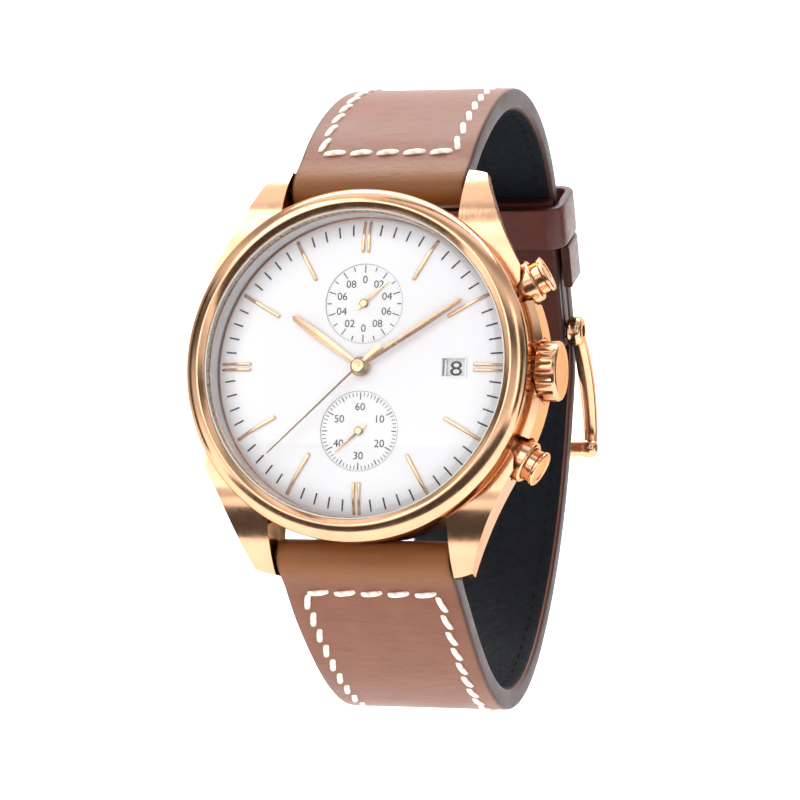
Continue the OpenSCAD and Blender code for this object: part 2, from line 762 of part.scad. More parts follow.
module quartz_can() color("#b9bcc2") face_up() rotate([0, 0, -50])
    translate([9, -2.4, bridge_z - board_t - 0.6]) rotate([-90, 0, 0]) cylinder(r = 0.6, h = 4.8);

// Each motor: a coil beyond its rotor, and a stator plate round the rotor
coil_reach = 2.6;
coil_l = 7;
coil_r = 0.75;
coil_z = 4.6;
module at_motor(at) {
    rotate([0, 0, atan2(at[1], at[0])]) translate([norm(at), 0, 0]) children();
}

module motor_coils() color("#b4632d") face_up()
    for (at = rotors_at) at_motor(at) translate([coil_reach, -coil_l / 2, coil_z])
        rotate([-90, 0, 0]) cylinder(r = coil_r, h = coil_l);

stator_z = 4.75;
stator_t = 0.3;
module motor_stators() color("#9aa0a6") face_up()
    for (at = rotors_at) at_motor(at) translate([0, 0, stator_z]) linear_extrude(stator_t) difference() {
        union() {
            square(2.6, center = true);
            translate([-0.5, -coil_l / 2]) square([1.8, coil_l]);
            for (s = [-1, 1]) translate([1.2, s * coil_l / 2 - (s + 1) * 0.5]) square([0.55, 1]);
        }
        circle(0.95);
    }

function center_phase() = -minute_angle;
third_phase = meshed(atan2(third_at[1], third_at[0]), 0, center_teeth, third_pinion_teeth);
third_to_fourth = atan2(fourth_at[1] - third_at[1], fourth_at[0] - third_at[0]);
fourth_phase = meshed(third_to_fourth, third_phase, third_teeth, fourth_pinion_teeth);
fifth_phase = meshed(fifth_angle, fourth_phase, fourth_teeth, relay_pinion_teeth);
drive_phase = meshed(drive_rotor_angle, fifth_phase, relay_teeth, rotor_teeth);
relay_phase = meshed(relay_angle, 0, fourth_teeth, relay_pinion_teeth);
chrono_rotor_phase = meshed(relay_angle, relay_phase, relay_teeth, rotor_teeth);
counter_rotor_phase = meshed(counter_rotor_angle, 0, fourth_teeth, counter_rotor_teeth);
minute_phase = meshed(minute_wheel_angle, 0, cannon_teeth, minute_teeth);
hour_phase = meshed(minute_wheel_angle + 180, minute_phase, minute_pinion_teeth, hour_teeth);
date_phase = meshed(date_wheel_angle, hour_phase, hour_pinion_teeth, date_teeth);

module center_wheel() color("#c9a24e") face_up() difference() {
    union() {
        translate([0, 0, center_z]) gear(center_teeth, center_module, wheel_t);
        translate([0, 0, motion_z]) gear(cannon_teeth, cannon_module, 0.3);
        disc(cannon_r, center_z, minute_hand_z + 0.35);
    }
    disc(cannon_bore_r, 0, 12);
}

module third_wheel() color("#c9a24e") face_up() translate(third_at) rotate([0, 0, third_phase]) {
    translate([0, 0, third_z]) gear(third_teeth, third_module, wheel_t);
    translate([0, 0, third_z + wheel_t - eps]) gear(third_pinion_teeth, center_module, 0.6);
    disc(arbor_r, bridge_z, plate_z + plate_t);
}

module fourth_wheel() color("#c9a24e") face_up() translate(fourth_at) rotate([0, 0, fourth_phase]) {
    translate([0, 0, fourth_z]) gear(fourth_teeth, motor_module, wheel_t);
    translate([0, 0, fourth_z + wheel_t - eps]) gear(fourth_pinion_teeth, third_module, 0.6);
    disc(arbor_r, bridge_z, small_hand_z + 0.3);
}

// A wheel and pinion that step a motor's rotor down
module step_down(at, phase) {
    translate(at) rotate([0, 0, phase]) {
        translate([0, 0, relay_z]) gear(relay_teeth, motor_module, wheel_t);
        translate([0, 0, relay_z + wheel_t - eps]) gear(relay_pinion_teeth, motor_module, 0.5);
    }
}

module rotor(at, phase, teeth, pinion_z) {
    translate(at) rotate([0, 0, phase]) {
        translate([0, 0, pinion_z]) gear(teeth, motor_module, 0.35);
        disc(0.7, stator_z - 0.1, stator_z + 0.5);
        disc(arbor_r, bridge_z, plate_top);
    }
}

module fifth_wheel() color("#c9a24e") face_up() {
    step_down(fifth_at, fifth_phase);
    translate(fifth_at) disc(arbor_r, bridge_z, plate_top);
}

// Under the centre wheel there is no room for an arbor, so this one turns on a post
module chrono_relay_wheel() color("#c9a24e") face_up() difference() {
    step_down(relay_at, relay_phase);
    translate(relay_at) disc(post_r + running_fit, 0, 12);
}

module drive_rotor() color("#6d7176") face_up()
    rotor(drive_rotor_at, drive_phase, rotor_teeth, relay_z - 0.1);
module chrono_rotor() color("#6d7176") face_up()
    rotor(chrono_rotor_at, chrono_rotor_phase, rotor_teeth, relay_z - 0.1);
module counter_rotor() color("#6d7176") face_up()
    rotor(counter_rotor_at, counter_rotor_phase, counter_rotor_teeth, fourth_z - 0.1);

module chrono_wheel() color("#c9a24e") face_up() {
    translate([0, 0, fourth_z]) gear(fourth_teeth, motor_module, wheel_t);
    disc(chrono_post_r, bridge_z, chrono_hand_z + 0.4);
}

module counter_wheel() color("#c9a24e") face_up() translate(counter_at) {
    translate([0, 0, fourth_z]) gear(fourth_teeth, motor_module, wheel_t);
    disc(arbor_r, bridge_z, small_hand_z + 0.3);
}

module minute_wheel() color("#c9a24e") face_up() translate(minute_wheel_at) rotate([0, 0, minute_phase])
    difference() {
        union() {
            translate([0, 0, motion_z]) gear(minute_teeth, cannon_module, wheel_t);
            translate([0, 0, motion_z + wheel_t - eps]) gear(minute_pinion_teeth, hour_module, 0.45);
        }
        disc(0.3 + running_fit, 0, 12);
    }

module hour_wheel() color("#c9a24e") face_up() rotate([0, 0, hour_phase]) difference() {
    union() {
        translate([0, 0, hour_wheel_z]) gear(hour_teeth, hour_module, 0.15);
        translate([0, 0, hour_wheel_z + 0.15 - eps]) gear(hour_pinion_teeth, date_module, 0.25);
        disc(hour_pipe_r, hour_wheel_z, hour_hand_z + 0.35);
    }
    disc(hour_bore_r, 0, 12);
}

date_ring_in = 9.9;
date_ring_out = 13.3;
module date_ring() color("#f4f4f2") face_up() {
    ring(date_ring_out, date_ring_in, date_ring_z, date_ring_z + date_ring_t);
}

module date_wheel() color("#c9a24e") face_up() translate(date_wheel_at) rotate([0, 0, date_phase])
    difference() {
        translate([0, 0, hour_wheel_z + 0.22]) gear(date_teeth, date_module, 0.15);
        disc(0.3 + running_fit, 0, 12);
    }

module date_ring_guard() color("#cfd2d6") face_up() difference() {
    disc(date_ring_in + 0.5, guard_z, guard_z + guard_t);
    disc(hour_pinion_teeth * date_module / 2 + 0.5, 0, 12);
    for (s = [-1, 1]) translate([0, s * subdial_y, 0]) disc(0.4, 0, 12);
}

// ---- Crown and pushers ----

module crown_body() {
    r = crown_d / 2;
    rotate_extrude($fn = 72) polygon([
        [0, crown_in], [r - 0.3, crown_in], [r, crown_in + 0.25], [r, crown_out - 0.45],
        [r - 0.12, crown_out - 0.18], [r - 0.45, crown_out], [r - 0.7, crown_out - 0.02],
        [r - 1.1, crown_out - 0.16], [0, crown_out - 0.2]
    ]);
}

module crown() color("#d9a878") outward(0) difference() {
    crown_body();
    for (i = [0 : crown_flutes - 1]) rotate([0, 0, 360 / crown_flutes * (i + 0.5)])
        translate([crown_d / 2 + 0.1, 0, crown_in - 1]) rotate([0, 0, 45])
            translate([-0.24, -0.24, 0]) cube([0.48, 0.48, flute_out - crown_in + 1]);
    translate([0, 0, crown_in - 1]) cylinder(r = crown_cavity_r, h = crown_out - crown_wall - crown_in + 1);
    translate([0, 0, crown_in]) cylinder(d = stem_d, h = crown_out - 0.45 - crown_in);
}

module stem() color("#a9adb3") outward(0) {
    translate([0, 0, stem_in]) cylinder(r = stem_neck_r, h = stem_step - stem_in + eps);
    translate([0, 0, stem_step]) cylinder(d = stem_d, h = crown_out - 0.45 - stem_step);
}

module sliding_pinion() color("#a9adb3") outward(0) translate([0, 0, clutch_in]) difference() {
    union() {
        gear(clutch_teeth, 0.09, 0.5);
        cylinder(r = 0.6, h = clutch_l);
    }
    translate([0, 0, -1]) cylinder(r = stem_neck_r + running_fit, h = clutch_l + 2);
}

module crown_tube() color("#b7babf") outward(0) translate([0, 0, tube_in]) difference() {
    cylinder(d = crown_tube_d, h = crown_tube_out - tube_in);
    translate([0, 0, -1]) cylinder(r = stem_d / 2 + running_fit, h = 20);
}

module crown_gasket() color("#2a2a2c") outward(0) translate([0, 0, crown_in + 0.2]) difference() {
    cylinder(r = crown_cavity_r, h = 0.4);
    translate([0, 0, -1]) cylinder(r = crown_tube_d / 2 + running_fit, h = 3);
}

module both_pushers() {
    for (s = [-1, 1]) outward(s * pusher_angle) children();
}

module pusher_collars() color("#d9a878") both_pushers() difference() {
    union() {
        translate([0, 0, tube_in]) cylinder(d = pusher_tube_d, h = collar_in - tube_in + eps);
        rotate_extrude($fn = 72) polygon([
            [0, collar_in], [collar_d / 2, collar_in], [collar_d / 2, collar_in + 0.3],
            [collar_d / 2 - 0.25, collar_in + 0.4], [collar_d / 2 - 0.25, collar_in + 0.6],
            [collar_d / 2, collar_in + 0.72], [collar_d / 2, collar_out - 0.2],
            [collar_d / 2 - 0.2, collar_out], [0, collar_out]
        ]);
    }
    translate([0, 0, cap_seat]) cylinder(r = cap_bore_r, h = 10);
    cylinder(r = pusher_bore_r, h = 40);
    translate([0, 0, tube_in + 1]) cylinder(r = pusher_bore_r + 0.3, h = 0.5);
}

module pusher_gaskets() color("#2a2a2c") both_pushers() translate([0, 0, tube_in + 1]) difference() {
    cylinder(r = pusher_bore_r + 0.3, h = 0.5);
    translate([0, 0, -1]) cylinder(r = pusher_bore_r, h = 3);
}

module pusher_button(side) color("#d9a878") outward(side * pusher_angle) {
    r = cap_d / 2;
    difference() {
        rotate_extrude($fn = 72) polygon([
            [0, cap_in], [r, cap_in], [r, cap_end - 0.55], [r + 0.18, cap_end - 0.45],
            [r + 0.2, cap_end - 0.15], [r + 0.05, cap_end], [0, cap_end]
        ]);
        difference() {
            translate([0, 0, cap_in - 1]) cylinder(r = r - 0.3, h = cap_end - cap_in);
            cylinder(d = pusher_stem_d, h = 40);
        }
    }
    difference() {
        translate([0, 0, stem_tip]) cylinder(d = pusher_stem_d, h = cap_in + 0.5 - stem_tip);
        ring(pusher_stem_d, pusher_stem_d / 2 - 0.2, tube_in - 0.1 - clip_t, tube_in - 0.1);
    }
}

module pusher_clip(side) color("#8d9299") outward(side * pusher_angle)
    ring(pusher_tube_d / 2 - 0.05, pusher_stem_d / 2 - 0.2, tube_in - 0.1 - clip_t, tube_in - 0.1);

// A coil spring between the collar's floor and the inside of the cap
spring_r = (pusher_stem_d / 2 + cap_d / 2 - 0.3) / 2;
spring_low = cap_seat + spring_wire_r + 0.03;
spring_high = cap_end - 1 - spring_wire_r - 0.03;
coil_sides = 6;
coil_rings = 14;
function coil_ring(t) =
    let (a = 360 * spring_turns * t, z = spring_low + (spring_high - spring_low) * t)
    [for (k = [0 : coil_sides - 1]) let (b = 360 * k / coil_sides, r = spring_r + spring_wire_r * cos(b))
        [r * cos(a), r * sin(a), z + spring_wire_r * sin(b)]];
module pusher_spring(side) color("#8d9299") outward(side * pusher_angle) {
    n = round(coil_rings * spring_turns);
    points = [for (i = [0 : n]) each coil_ring(i / n)];
    walls = [for (i = [0 : n - 1], k = [0 : coil_sides - 1]) let (k2 = (k + 1) % coil_sides)
        [i * coil_sides + k, (i + 1) * coil_sides + k, (i + 1) * coil_sides + k2, i * coil_sides + k2]];
    caps = [[for (k = [0 : coil_sides - 1]) k], [for (k = [coil_sides - 1 : -1 : 0]) n * coil_sides + k]];
    polyhedron(points, concat(walls, caps), convexity = 6);
}

module start_button() pusher_button(1);
module start_clip() pusher_clip(1);
module start_spring() pusher_spring(1);
module reset_button() pusher_button(-1);
module reset_clip() pusher_clip(-1);
module reset_spring() pusher_spring(-1);

// ---- Strap ----

// The strap's plan: full width at the lugs, narrower towards the buckle
module strap_plan() {
    half = strap_w / 2;
    half_end = strap_end_w / 2;
    translate([0, 0, -60]) linear_extrude(120) polygon([
        [-half, -10], [half, -10], [half, 5], [half_end, 46], [half_end, 80],
        [-half_end, 80], [-half_end, 46], [-half, 5]
    ]);
}

module lug_bar_hole(side) {
    across(60) translate([-bar_z, side * bar_y]) circle(bar_r + hole_slack);
}

module strap_12_leather() color("#8a5f4c") difference() {
    intersection() {
        across(strap_w) {
            strip(route_12, half_t - leather_t, half_t);
            translate([-bar_z, bar_y]) circle(lug_roll_r);
            translate(buckle_bar) circle(buckle_roll_r);
            strip(flap_route, flap_in, -half_t);
        }
        strap_plan();
    }
    lug_bar_hole(1);
    across(60) translate(buckle_bar) circle(bar_r + hole_slack);
    on_strap(0) translate([0, 0, -2]) cube([tongue_slot_w, 12, 9], center = true);
}

module keeper_band(depth_in, depth_out, wall) {
    linear_extrude(keeper_l) translate([0, (depth_in + depth_out) / 2]) difference() {
        round_rect(2 * keeper_half + 2 * wall, depth_out - depth_in + 2 * wall, wall + 0.3);
        round_rect(2 * keeper_half, depth_out - depth_in, 0.3);
    }
}

// The fixed keeper is sewn in between the lining and the flap
module fixed_keeper() color("#5b3524") on_strap(fixed_keeper_at) difference() {
    union() {
        keeper_band(-half_t + keeper_band_t, tail_out + keeper_slack, keeper_t);
    }
    translate([-20, -half_t - 10, -1]) cube([40, 10, 10]);
}

module free_keeper() color("#5b3524") on_strap(free_keeper_at)
    keeper_band(flap_in - keeper_slack, tail_out + keeper_slack, keeper_t);

module strap_12_lining() color("#1a2130") difference() {
    intersection() {
        across(strap_w) difference() {
            strip(route_12, -half_t, half_t - leather_t);
            translate([-bar_z, bar_y]) circle(lug_roll_r);
            translate(buckle_bar) circle(buckle_roll_r);
        }
        strap_plan();
    }
    on_strap(fixed_keeper_at) translate([-20, -half_t - 1, 0]) cube([40, 1 + keeper_band_t, keeper_l]);
    on_strap(0) translate([0, 0, -2]) cube([tongue_slot_w, 12, 9], center = true);
}

module tongue_hole() {
    translate([0, end_6[0], buckle_bar[1] - 4.4]) cube([tongue_hole_w, 12, 6.8], center = true);
}

hole_pitch = 6;
hole_count = 2;
module tail_holes() {
    for (i = [1 : hole_count]) on_strap(i * hole_pitch - 3) rotate([-90, 0, 0])
        cylinder(r = 0.9, h = 10);
}

module strap_6_leather() color("#8a5f4c") difference() {
    intersection() {
        across(strap_w) {
            strip(route_long, -half_t, -half_t + leather_t);
            translate([-bar_z, -bar_y]) circle(lug_roll_r);
        }
        strap_plan();
    }
    lug_bar_hole(-1);
    tongue_hole();
    tail_holes();
}

module strap_6_lining() color("#1a2130") difference() {
    intersection() {
        across(strap_w) difference() {
            strip(route_long, -half_t + leather_t, half_t);
            translate([-bar_z, -bar_y]) circle(lug_roll_r);
        }
        strap_plan();
    }
    tongue_hole();
    tail_holes();
}

module spring_bar(body_l, pin_l) {
    rotate([0, 90, 0]) {
        cylinder(r = bar_r, h = body_l, center = true);
        cylinder(d = bar_pin_d, h = body_l + 2 * pin_l, center = true);
    }
}

module lug_spring_bars() color("#a9adb3")
    for (s = [-1, 1]) translate([0, -bar_z, s * bar_y])
        spring_bar(lug_gap - 0.4, bar_hole_depth + 0.1);

module buckle_spring_bar() color("#a9adb3")
    translate([0, buckle_bar[0], buckle_bar[1]]) spring_bar(2 * frame_inner_half - 0.3, 0.15 + 1.3);

module buckle_frame() color("#d9a878") difference() {
    union() {
        for (s = [-1, 1]) translate([s * (frame_inner_half + frame_arm_w / 2), 0, 0]) across(frame_arm_w) {
            strip(frame_route, -frame_t / 2, frame_t / 2);
            translate(buckle_bar) circle(frame_eye_r);
            translate([crossbar[0], crossbar[1]]) circle(crossbar_r);
        }
        translate([0, crossbar[0], crossbar[1]]) rotate([0, 90, 0])
            cylinder(r = crossbar_r, h = 2 * frame_inner_half + 0.2, center = true);
    }
    translate([0, buckle_bar[0], buckle_bar[1]]) rotate([0, 90, 0])
        cylinder(d = bar_pin_d + 2 * running_fit, h = 2 * frame_inner_half + 2 * 1.5, center = true);
    translate([0, crossbar[0], crossbar[1]]) rotate([0, 90, 0]) difference() {
        cylinder(r = 3, h = tongue_w + 0.6, center = true);
        cylinder(r = crossbar_neck_r, h = 10, center = true);
    }
}

module buckle_tongue() color("#d9a878") difference() {
    across(tongue_w) {
        strip(tongue_route, -tongue_t / 2, tongue_t / 2);
        translate(buckle_bar) circle(tongue_eye_r);
    }
    across(10) translate(buckle_bar) circle(bar_r + running_fit);
}

case_middle();
bezel();
crystal();
crystal_gasket();
case_back();
case_back_gasket();
dial();
applied_markers();
hour_hand();
minute_hand();
chrono_hand();
small_seconds_hand();
counter_hand();
movement_holder();
main_plate();
train_bridge();
bridge_screws();
battery();
circuit_board();
quartz_can();
motor_coils();
motor_stators();
center_wheel();
third_wheel();
fourth_wheel();
fifth_wheel();
drive_rotor();
minute_wheel();
hour_wheel();
date_ring();
date_wheel();
date_ring_guard();
chrono_wheel();
chrono_relay_wheel();
chrono_rotor();
counter_wheel();
counter_rotor();
crown();
stem();
sliding_pinion();
crown_tube();
crown_gasket();
pusher_collars();
pusher_gaskets();
start_button();
start_clip();
start_spring();
reset_button();
reset_clip();
reset_spring();
strap_12_leather();
strap_12_lining();
strap_6_leather();
strap_6_lining();
fixed_keeper();
free_keeper();
lug_spring_bars();
buckle_spring_bar();
buckle_frame();
buckle_tongue();
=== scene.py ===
"""Looks of the chronograph wristwatch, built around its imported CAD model.

Lengths inside the functions are millimetres unless a name says otherwise. In "face" coordinates
x points to the crown, y to 12 o'clock and z out of the dial, from the case back's outer face.
"""
import json
import math
from math import cos, hypot, pi, radians, sin

import bmesh
import bpy
from mathutils import Matrix, Vector


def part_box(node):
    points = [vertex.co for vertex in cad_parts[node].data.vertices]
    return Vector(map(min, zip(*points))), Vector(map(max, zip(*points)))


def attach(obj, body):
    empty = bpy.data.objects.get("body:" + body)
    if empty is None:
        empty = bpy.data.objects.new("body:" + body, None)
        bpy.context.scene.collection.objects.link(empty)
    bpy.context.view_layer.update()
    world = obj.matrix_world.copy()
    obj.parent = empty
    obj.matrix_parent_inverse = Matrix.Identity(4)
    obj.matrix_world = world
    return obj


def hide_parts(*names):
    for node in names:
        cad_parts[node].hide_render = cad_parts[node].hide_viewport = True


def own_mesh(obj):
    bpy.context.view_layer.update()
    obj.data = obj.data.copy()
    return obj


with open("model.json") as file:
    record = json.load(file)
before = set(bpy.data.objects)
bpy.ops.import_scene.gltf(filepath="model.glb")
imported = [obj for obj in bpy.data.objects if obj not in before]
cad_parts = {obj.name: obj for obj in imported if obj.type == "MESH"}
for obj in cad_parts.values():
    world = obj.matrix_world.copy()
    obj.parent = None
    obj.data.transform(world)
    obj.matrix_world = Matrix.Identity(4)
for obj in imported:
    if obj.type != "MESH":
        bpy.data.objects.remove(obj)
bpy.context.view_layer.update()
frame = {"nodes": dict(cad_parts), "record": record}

MM = 0.001
TO_METRES = Matrix.Scale(MM, 4)
FACE = Matrix.Rotation(radians(90), 4, "X")


def box_mm(node):
    low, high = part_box(node)
    return Vector(low) / MM, Vector(high) / MM


def link_new(name, data):
    obj = bpy.data.objects.new(name, data)
    bpy.context.collection.objects.link(obj)
    return obj


def mesh_from(bm, name):
    mesh = bpy.data.meshes.new(name)
    bm.to_mesh(mesh)
    bm.free()
    return mesh


# ---- Camera ----

CAMERA_DISTANCE = 430
CAMERA_AZIMUTH = 16.8
CAMERA_ELEVATION = -7.26
CAMERA_ROLL = -2.33
CAMERA_LENS = 158.67
CAMERA_SHIFT = (0.0245, -0.03)


def add_camera():
    a, e, r = (radians(v) for v in (CAMERA_AZIMUTH, CAMERA_ELEVATION, CAMERA_ROLL))
    right = Vector((cos(a), sin(a), 0))
    up = Vector((-sin(a) * sin(e), cos(a) * sin(e), cos(e)))
    forward = Vector((-sin(a) * cos(e), cos(a) * cos(e), -sin(e)))
    rolled_right = right * cos(r) - up * sin(r)
    rolled_up = right * sin(r) + up * cos(r)
    data = bpy.data.cameras.new("camera")
    data.lens = CAMERA_LENS
    data.sensor_width = 36
    data.shift_x, data.shift_y = CAMERA_SHIFT
    data.clip_start = 0.01
    camera = link_new("camera", data)
    turn = Matrix((rolled_right, rolled_up, -forward)).transposed().to_4x4()
    camera.matrix_world = Matrix.Translation(-forward * CAMERA_DISTANCE * MM) @ turn
    bpy.context.scene.camera = camera


add_camera()


# ---- Materials ----

class Shade:
    """A material's node tree, with short calls for the nodes that this file uses."""

    def __init__(self, name):
        self.material = bpy.data.materials.new(name)
        self.material.use_nodes = True
        self.tree = self.material.node_tree
        self.shader = self.tree.nodes["Principled BSDF"]
        self.place = self.tree.nodes.new("ShaderNodeTexCoord").outputs["Object"]

    def node(self, kind, **settings):
        made = self.tree.nodes.new("ShaderNode" + kind)
        for key, value in settings.items():
            setattr(made, key, value)
        return made

    def link(self, source, target):
        self.tree.links.new(source, target)

    def set(self, **values):
        for key, value in values.items():
            socket = self.shader.inputs[key.replace("_", " ")]
            socket.default_value = (*value, 1) if isinstance(value, tuple) else value

    def scaled(self, scale):
        mapping = self.node("Mapping")
        mapping.inputs["Scale"].default_value = scale if isinstance(scale, tuple) else (scale,) * 3
        self.link(self.place, mapping.inputs["Vector"])
        return mapping.outputs["Vector"]

    def noise(self, scale, detail=4, rough=0.55, distortion=0.0):
        made = self.node("TexNoise")
        made.inputs["Scale"].default_value = 1
        made.inputs["Detail"].default_value = detail
        made.inputs["Roughness"].default_value = rough
        made.inputs["Distortion"].default_value = distortion
        self.link(self.scaled(scale), made.inputs["Vector"])
        return made.outputs["Fac"]

    def cells(self, scale, feature="F1"):
        made = self.node("TexVoronoi", feature=feature)
        made.inputs["Scale"].default_value = 1
        self.link(self.scaled(scale), made.inputs["Vector"])
        return made.outputs["Distance"]

    def range(self, source, low, high, to_low=0.0, to_high=1.0):
        made = self.node("MapRange")
        limits = {"From Min": low, "From Max": high, "To Min": to_low, "To Max": to_high}
        for key, value in limits.items():
            made.inputs[key].default_value = value
        self.link(source, made.inputs["Value"])
        return made.outputs["Result"]

    def math(self, operation, a, b):
        made = self.node("Math", operation=operation)
        for socket, value in zip(made.inputs, (a, b)):
            if isinstance(value, (int, float)):
                socket.default_value = value
            else:
                self.link(value, socket)
        return made.outputs[0]

    def mix(self, factor, a, b):
        made = self.node("Mix", data_type="RGBA")
        self.link(factor, made.inputs["Factor"])
        for socket, value in ((made.inputs[6], a), (made.inputs[7], b)):
            if isinstance(value, tuple):
                socket.default_value = (*value, 1)
            else:
                self.link(value, socket)
        return made.outputs[2]

    def attribute(self, name):
        return self.node("Attribute", attribute_name=name).outputs["Fac"]

    def color(self, source):
        self.link(source, self.shader.inputs["Base Color"])

    def rough(self, source):
        self.link(source, self.shader.inputs["Roughness"])

    def bump(self, height, distance, strength=1.0):
        made = self.node("Bump")
        made.inputs["Distance"].default_value = distance * MM
        made.inputs["Strength"].default_value = strength
        self.link(height, made.inputs["Height"])
        self.link(made.outputs["Normal"], self.shader.inputs["Normal"])


def linear(r, g, b):
    """A colour given as 0-255 display values."""
    shares = (v / 255 for v in (r, g, b))
    return tuple(((v + 0.055) / 1.055) ** 2.4 if v > 10 / 255 else v / 12.92 for v in shares)


def metal(name, color, low, high, fleck=0.06, scratch=0.004):
    """Polished or plain metal with faint stains, fine scratches and uneven gloss."""
    s = Shade(name)
    s.set(Metallic=1.0)
    darker = tuple(c * (1 - fleck * 2) for c in color)
    s.color(s.mix(s.range(s.noise(180), 0.35, 0.7), color, darker))
    streaks = s.noise((2600, 260, 900), detail=3)
    gloss = s.range(s.noise(420), 0.3, 0.7, low, high)
    s.rough(s.math("ADD", gloss, s.range(streaks, 0.55, 0.75, 0, 0.05)))
    s.bump(streaks, scratch)
    s.set(Specular_Tint=(0.55, 0.4, 0.3))
    return s.material


def brushed(name, color, low, high, stretch):
    s = Shade(name)
    s.set(Metallic=1.0)
    lines = s.noise(stretch, detail=6, rough=0.7)
    darker = tuple(c * 0.9 for c in color)
    s.color(s.mix(s.range(lines, 0.3, 0.7), darker, color))
    s.rough(s.range(lines, 0.3, 0.7, low, high))
    s.bump(lines, 0.006)
    return s.material


def plastic(name, color, rough, grain=0.006):
    s = Shade(name)
    cloud = s.noise(260)
    s.color(s.mix(s.range(cloud, 0.3, 0.7), color, tuple(c * 0.86 for c in color)))
    fine = s.noise(4200, detail=2)
    s.rough(s.range(fine, 0.3, 0.7, rough - 0.06, rough + 0.06))
    s.bump(fine, grain)
    return s.material


def outer_leather():
    """Smooth waxed hide: cloudy colour, fine creases and pores, golden wear where it is rolled, and
    painted shade on the buckle end, its wrap and flap.
    """
    s = Shade("leather_brown")
    cloud = s.noise(120, detail=5, rough=0.6)
    tone = s.mix(s.range(cloud, 0.3, 0.72), linear(106, 64, 46), linear(124, 79, 59))
    creases = s.noise((260, 900, 900), detail=6, rough=0.65, distortion=0.6)
    tone = s.mix(s.range(creases, 0.56, 0.72, 0, 0.35), tone, linear(86, 48, 32))
    speck = s.range(s.noise(2600, detail=3, rough=0.7), 0.46, 0.6)
    worn = s.math("MULTIPLY", s.attribute("wear"), s.range(speck, 0, 1, 0.45, 1))
    tone = s.mix(worn, tone, linear(118, 72, 22))
    edge = s.attribute("edge")
    # The painted_shade attribute darkens the hide to a dark red-brown: painted shade on the strap's
    # buckle end, wrap and flap.
    s.color(s.mix(edge, s.mix(s.attribute("painted_shade"), tone, linear(66, 27, 19)), linear(50, 22, 16)))
    pores = s.cells(1500, feature="SMOOTH_F1")
    s.rough(s.range(s.math("ADD", cloud, s.math("MULTIPLY", creases, 0.4)), 0.4, 1.0, 0.36, 0.56))
    height = s.math("ADD", s.math("MULTIPLY", creases, 0.8), s.math("MULTIPLY", pores, 0.35))
    s.bump(height, 0.07)
    s.set(Specular_IOR_Level=0.2, Coat_Weight=0.03, Coat_Roughness=0.3)
    return s.material


def keeper_leather():
    s = Shade("leather_keeper")
    cloud = s.noise(160, detail=5)
    tone = s.mix(s.range(cloud, 0.3, 0.7), linear(66, 26, 18), linear(84, 36, 25))
    s.color(s.mix(s.attribute("edge"), tone, linear(50, 18, 13)))
    creases = s.noise((400, 1400, 1400), detail=5, distortion=0.5)
    s.rough(s.range(creases, 0.3, 0.7, 0.3, 0.46))
    s.bump(s.math("ADD", creases, s.math("MULTIPLY", s.cells(1600), 0.4)), 0.05)
    s.set(Specular_IOR_Level=0.3, Coat_Weight=0.08, Coat_Roughness=0.25)
    return s.material


def lining_leather():
    """Navy lining with a pebbled grain."""
    s = Shade("leather_navy")
    pebble = s.cells(1250, feature="SMOOTH_F1")
    cloud = s.noise(220, detail=5)
    tone = s.mix(s.range(cloud, 0.3, 0.75), linear(6, 9, 16), linear(12, 16, 25))
    tone = s.mix(s.range(pebble, 0.1, 0.55, 0, 0.5), tone, linear(2, 4, 8))
    s.color(tone)
    s.set(Specular_IOR_Level=0.15)
    s.rough(s.range(s.noise(900), 0.3, 0.7, 0.5, 0.68))
    s.bump(s.math("ADD", pebble, s.math("MULTIPLY", s.noise(2600), 0.5)), 0.09)
    return s.material


def thread(name, light, painted_shade, sheen):
    """Twisted thread: its ply runs across the stitch, read from the mesh's own twist attribute; the
    darker colour along the ply is painted shade.
    """
    s = Shade(name)
    ply = s.range(s.attribute("twist"), 0, 1)
    # The second colour is painted shade, laid along the ply's twist.
    s.color(s.mix(s.math("MULTIPLY", ply, s.range(s.noise(1500), 0.3, 0.7, 0.5, 1)), light, painted_shade))
    fuzz = s.noise((5200, 5200, 5200), detail=3)
    s.rough(s.range(fuzz, 0.3, 0.7, 0.7, 0.9))
    s.bump(s.math("ADD", fuzz, s.math("MULTIPLY", ply, 1.5)), 0.03)
    s.set(Sheen_Weight=sheen, Specular_IOR_Level=0.2)
    return s.material


def dial_paint():
    s = Shade("dial_white")
    cloud = s.noise(70, detail=3)
    s.color(s.mix(s.range(cloud, 0.3, 0.7), linear(250, 247, 249), linear(245, 242, 245)))
    fine = s.noise(5200, detail=2)
    s.rough(s.range(fine, 0.3, 0.7, 0.34, 0.46))
    s.bump(fine, 0.004)
    s.set(Specular_IOR_Level=0.35, Coat_Weight=0.15, Coat_Roughness=0.2)
    return s.material


def ink():
    s = Shade("print_ink")
    s.color(s.mix(s.range(s.noise(1800), 0.3, 0.7), linear(14, 13, 15), linear(30, 28, 32)))
    s.rough(s.range(s.noise(4000), 0.3, 0.7, 0.6, 0.8))
    s.set(Specular_IOR_Level=0.05)
    return s.material


def clear_glass(name, tint):
    """Thin clear crystal: light passes straight through, with a mirror reflection on top."""
    s = Shade(name)
    s.tree.nodes.remove(s.shader)
    output = s.tree.nodes["Material Output"]
    through = s.node("BsdfTransparent")
    through.inputs["Color"].default_value = (*tint, 1)
    gloss = s.node("BsdfGlossy")
    s.link(s.range(s.noise(300), 0.3, 0.7, 0.0, 0.02), gloss.inputs["Roughness"])
    fresnel = s.node("Fresnel")
    fresnel.inputs["IOR"].default_value = 1.45
    blend = s.node("MixShader")
    s.link(s.math("MULTIPLY", fresnel.outputs[0], 0.8), blend.inputs[0])
    s.link(through.outputs[0], blend.inputs[1])
    s.link(gloss.outputs[0], blend.inputs[2])
    s.link(blend.outputs[0], output.inputs["Surface"])
    return s.material


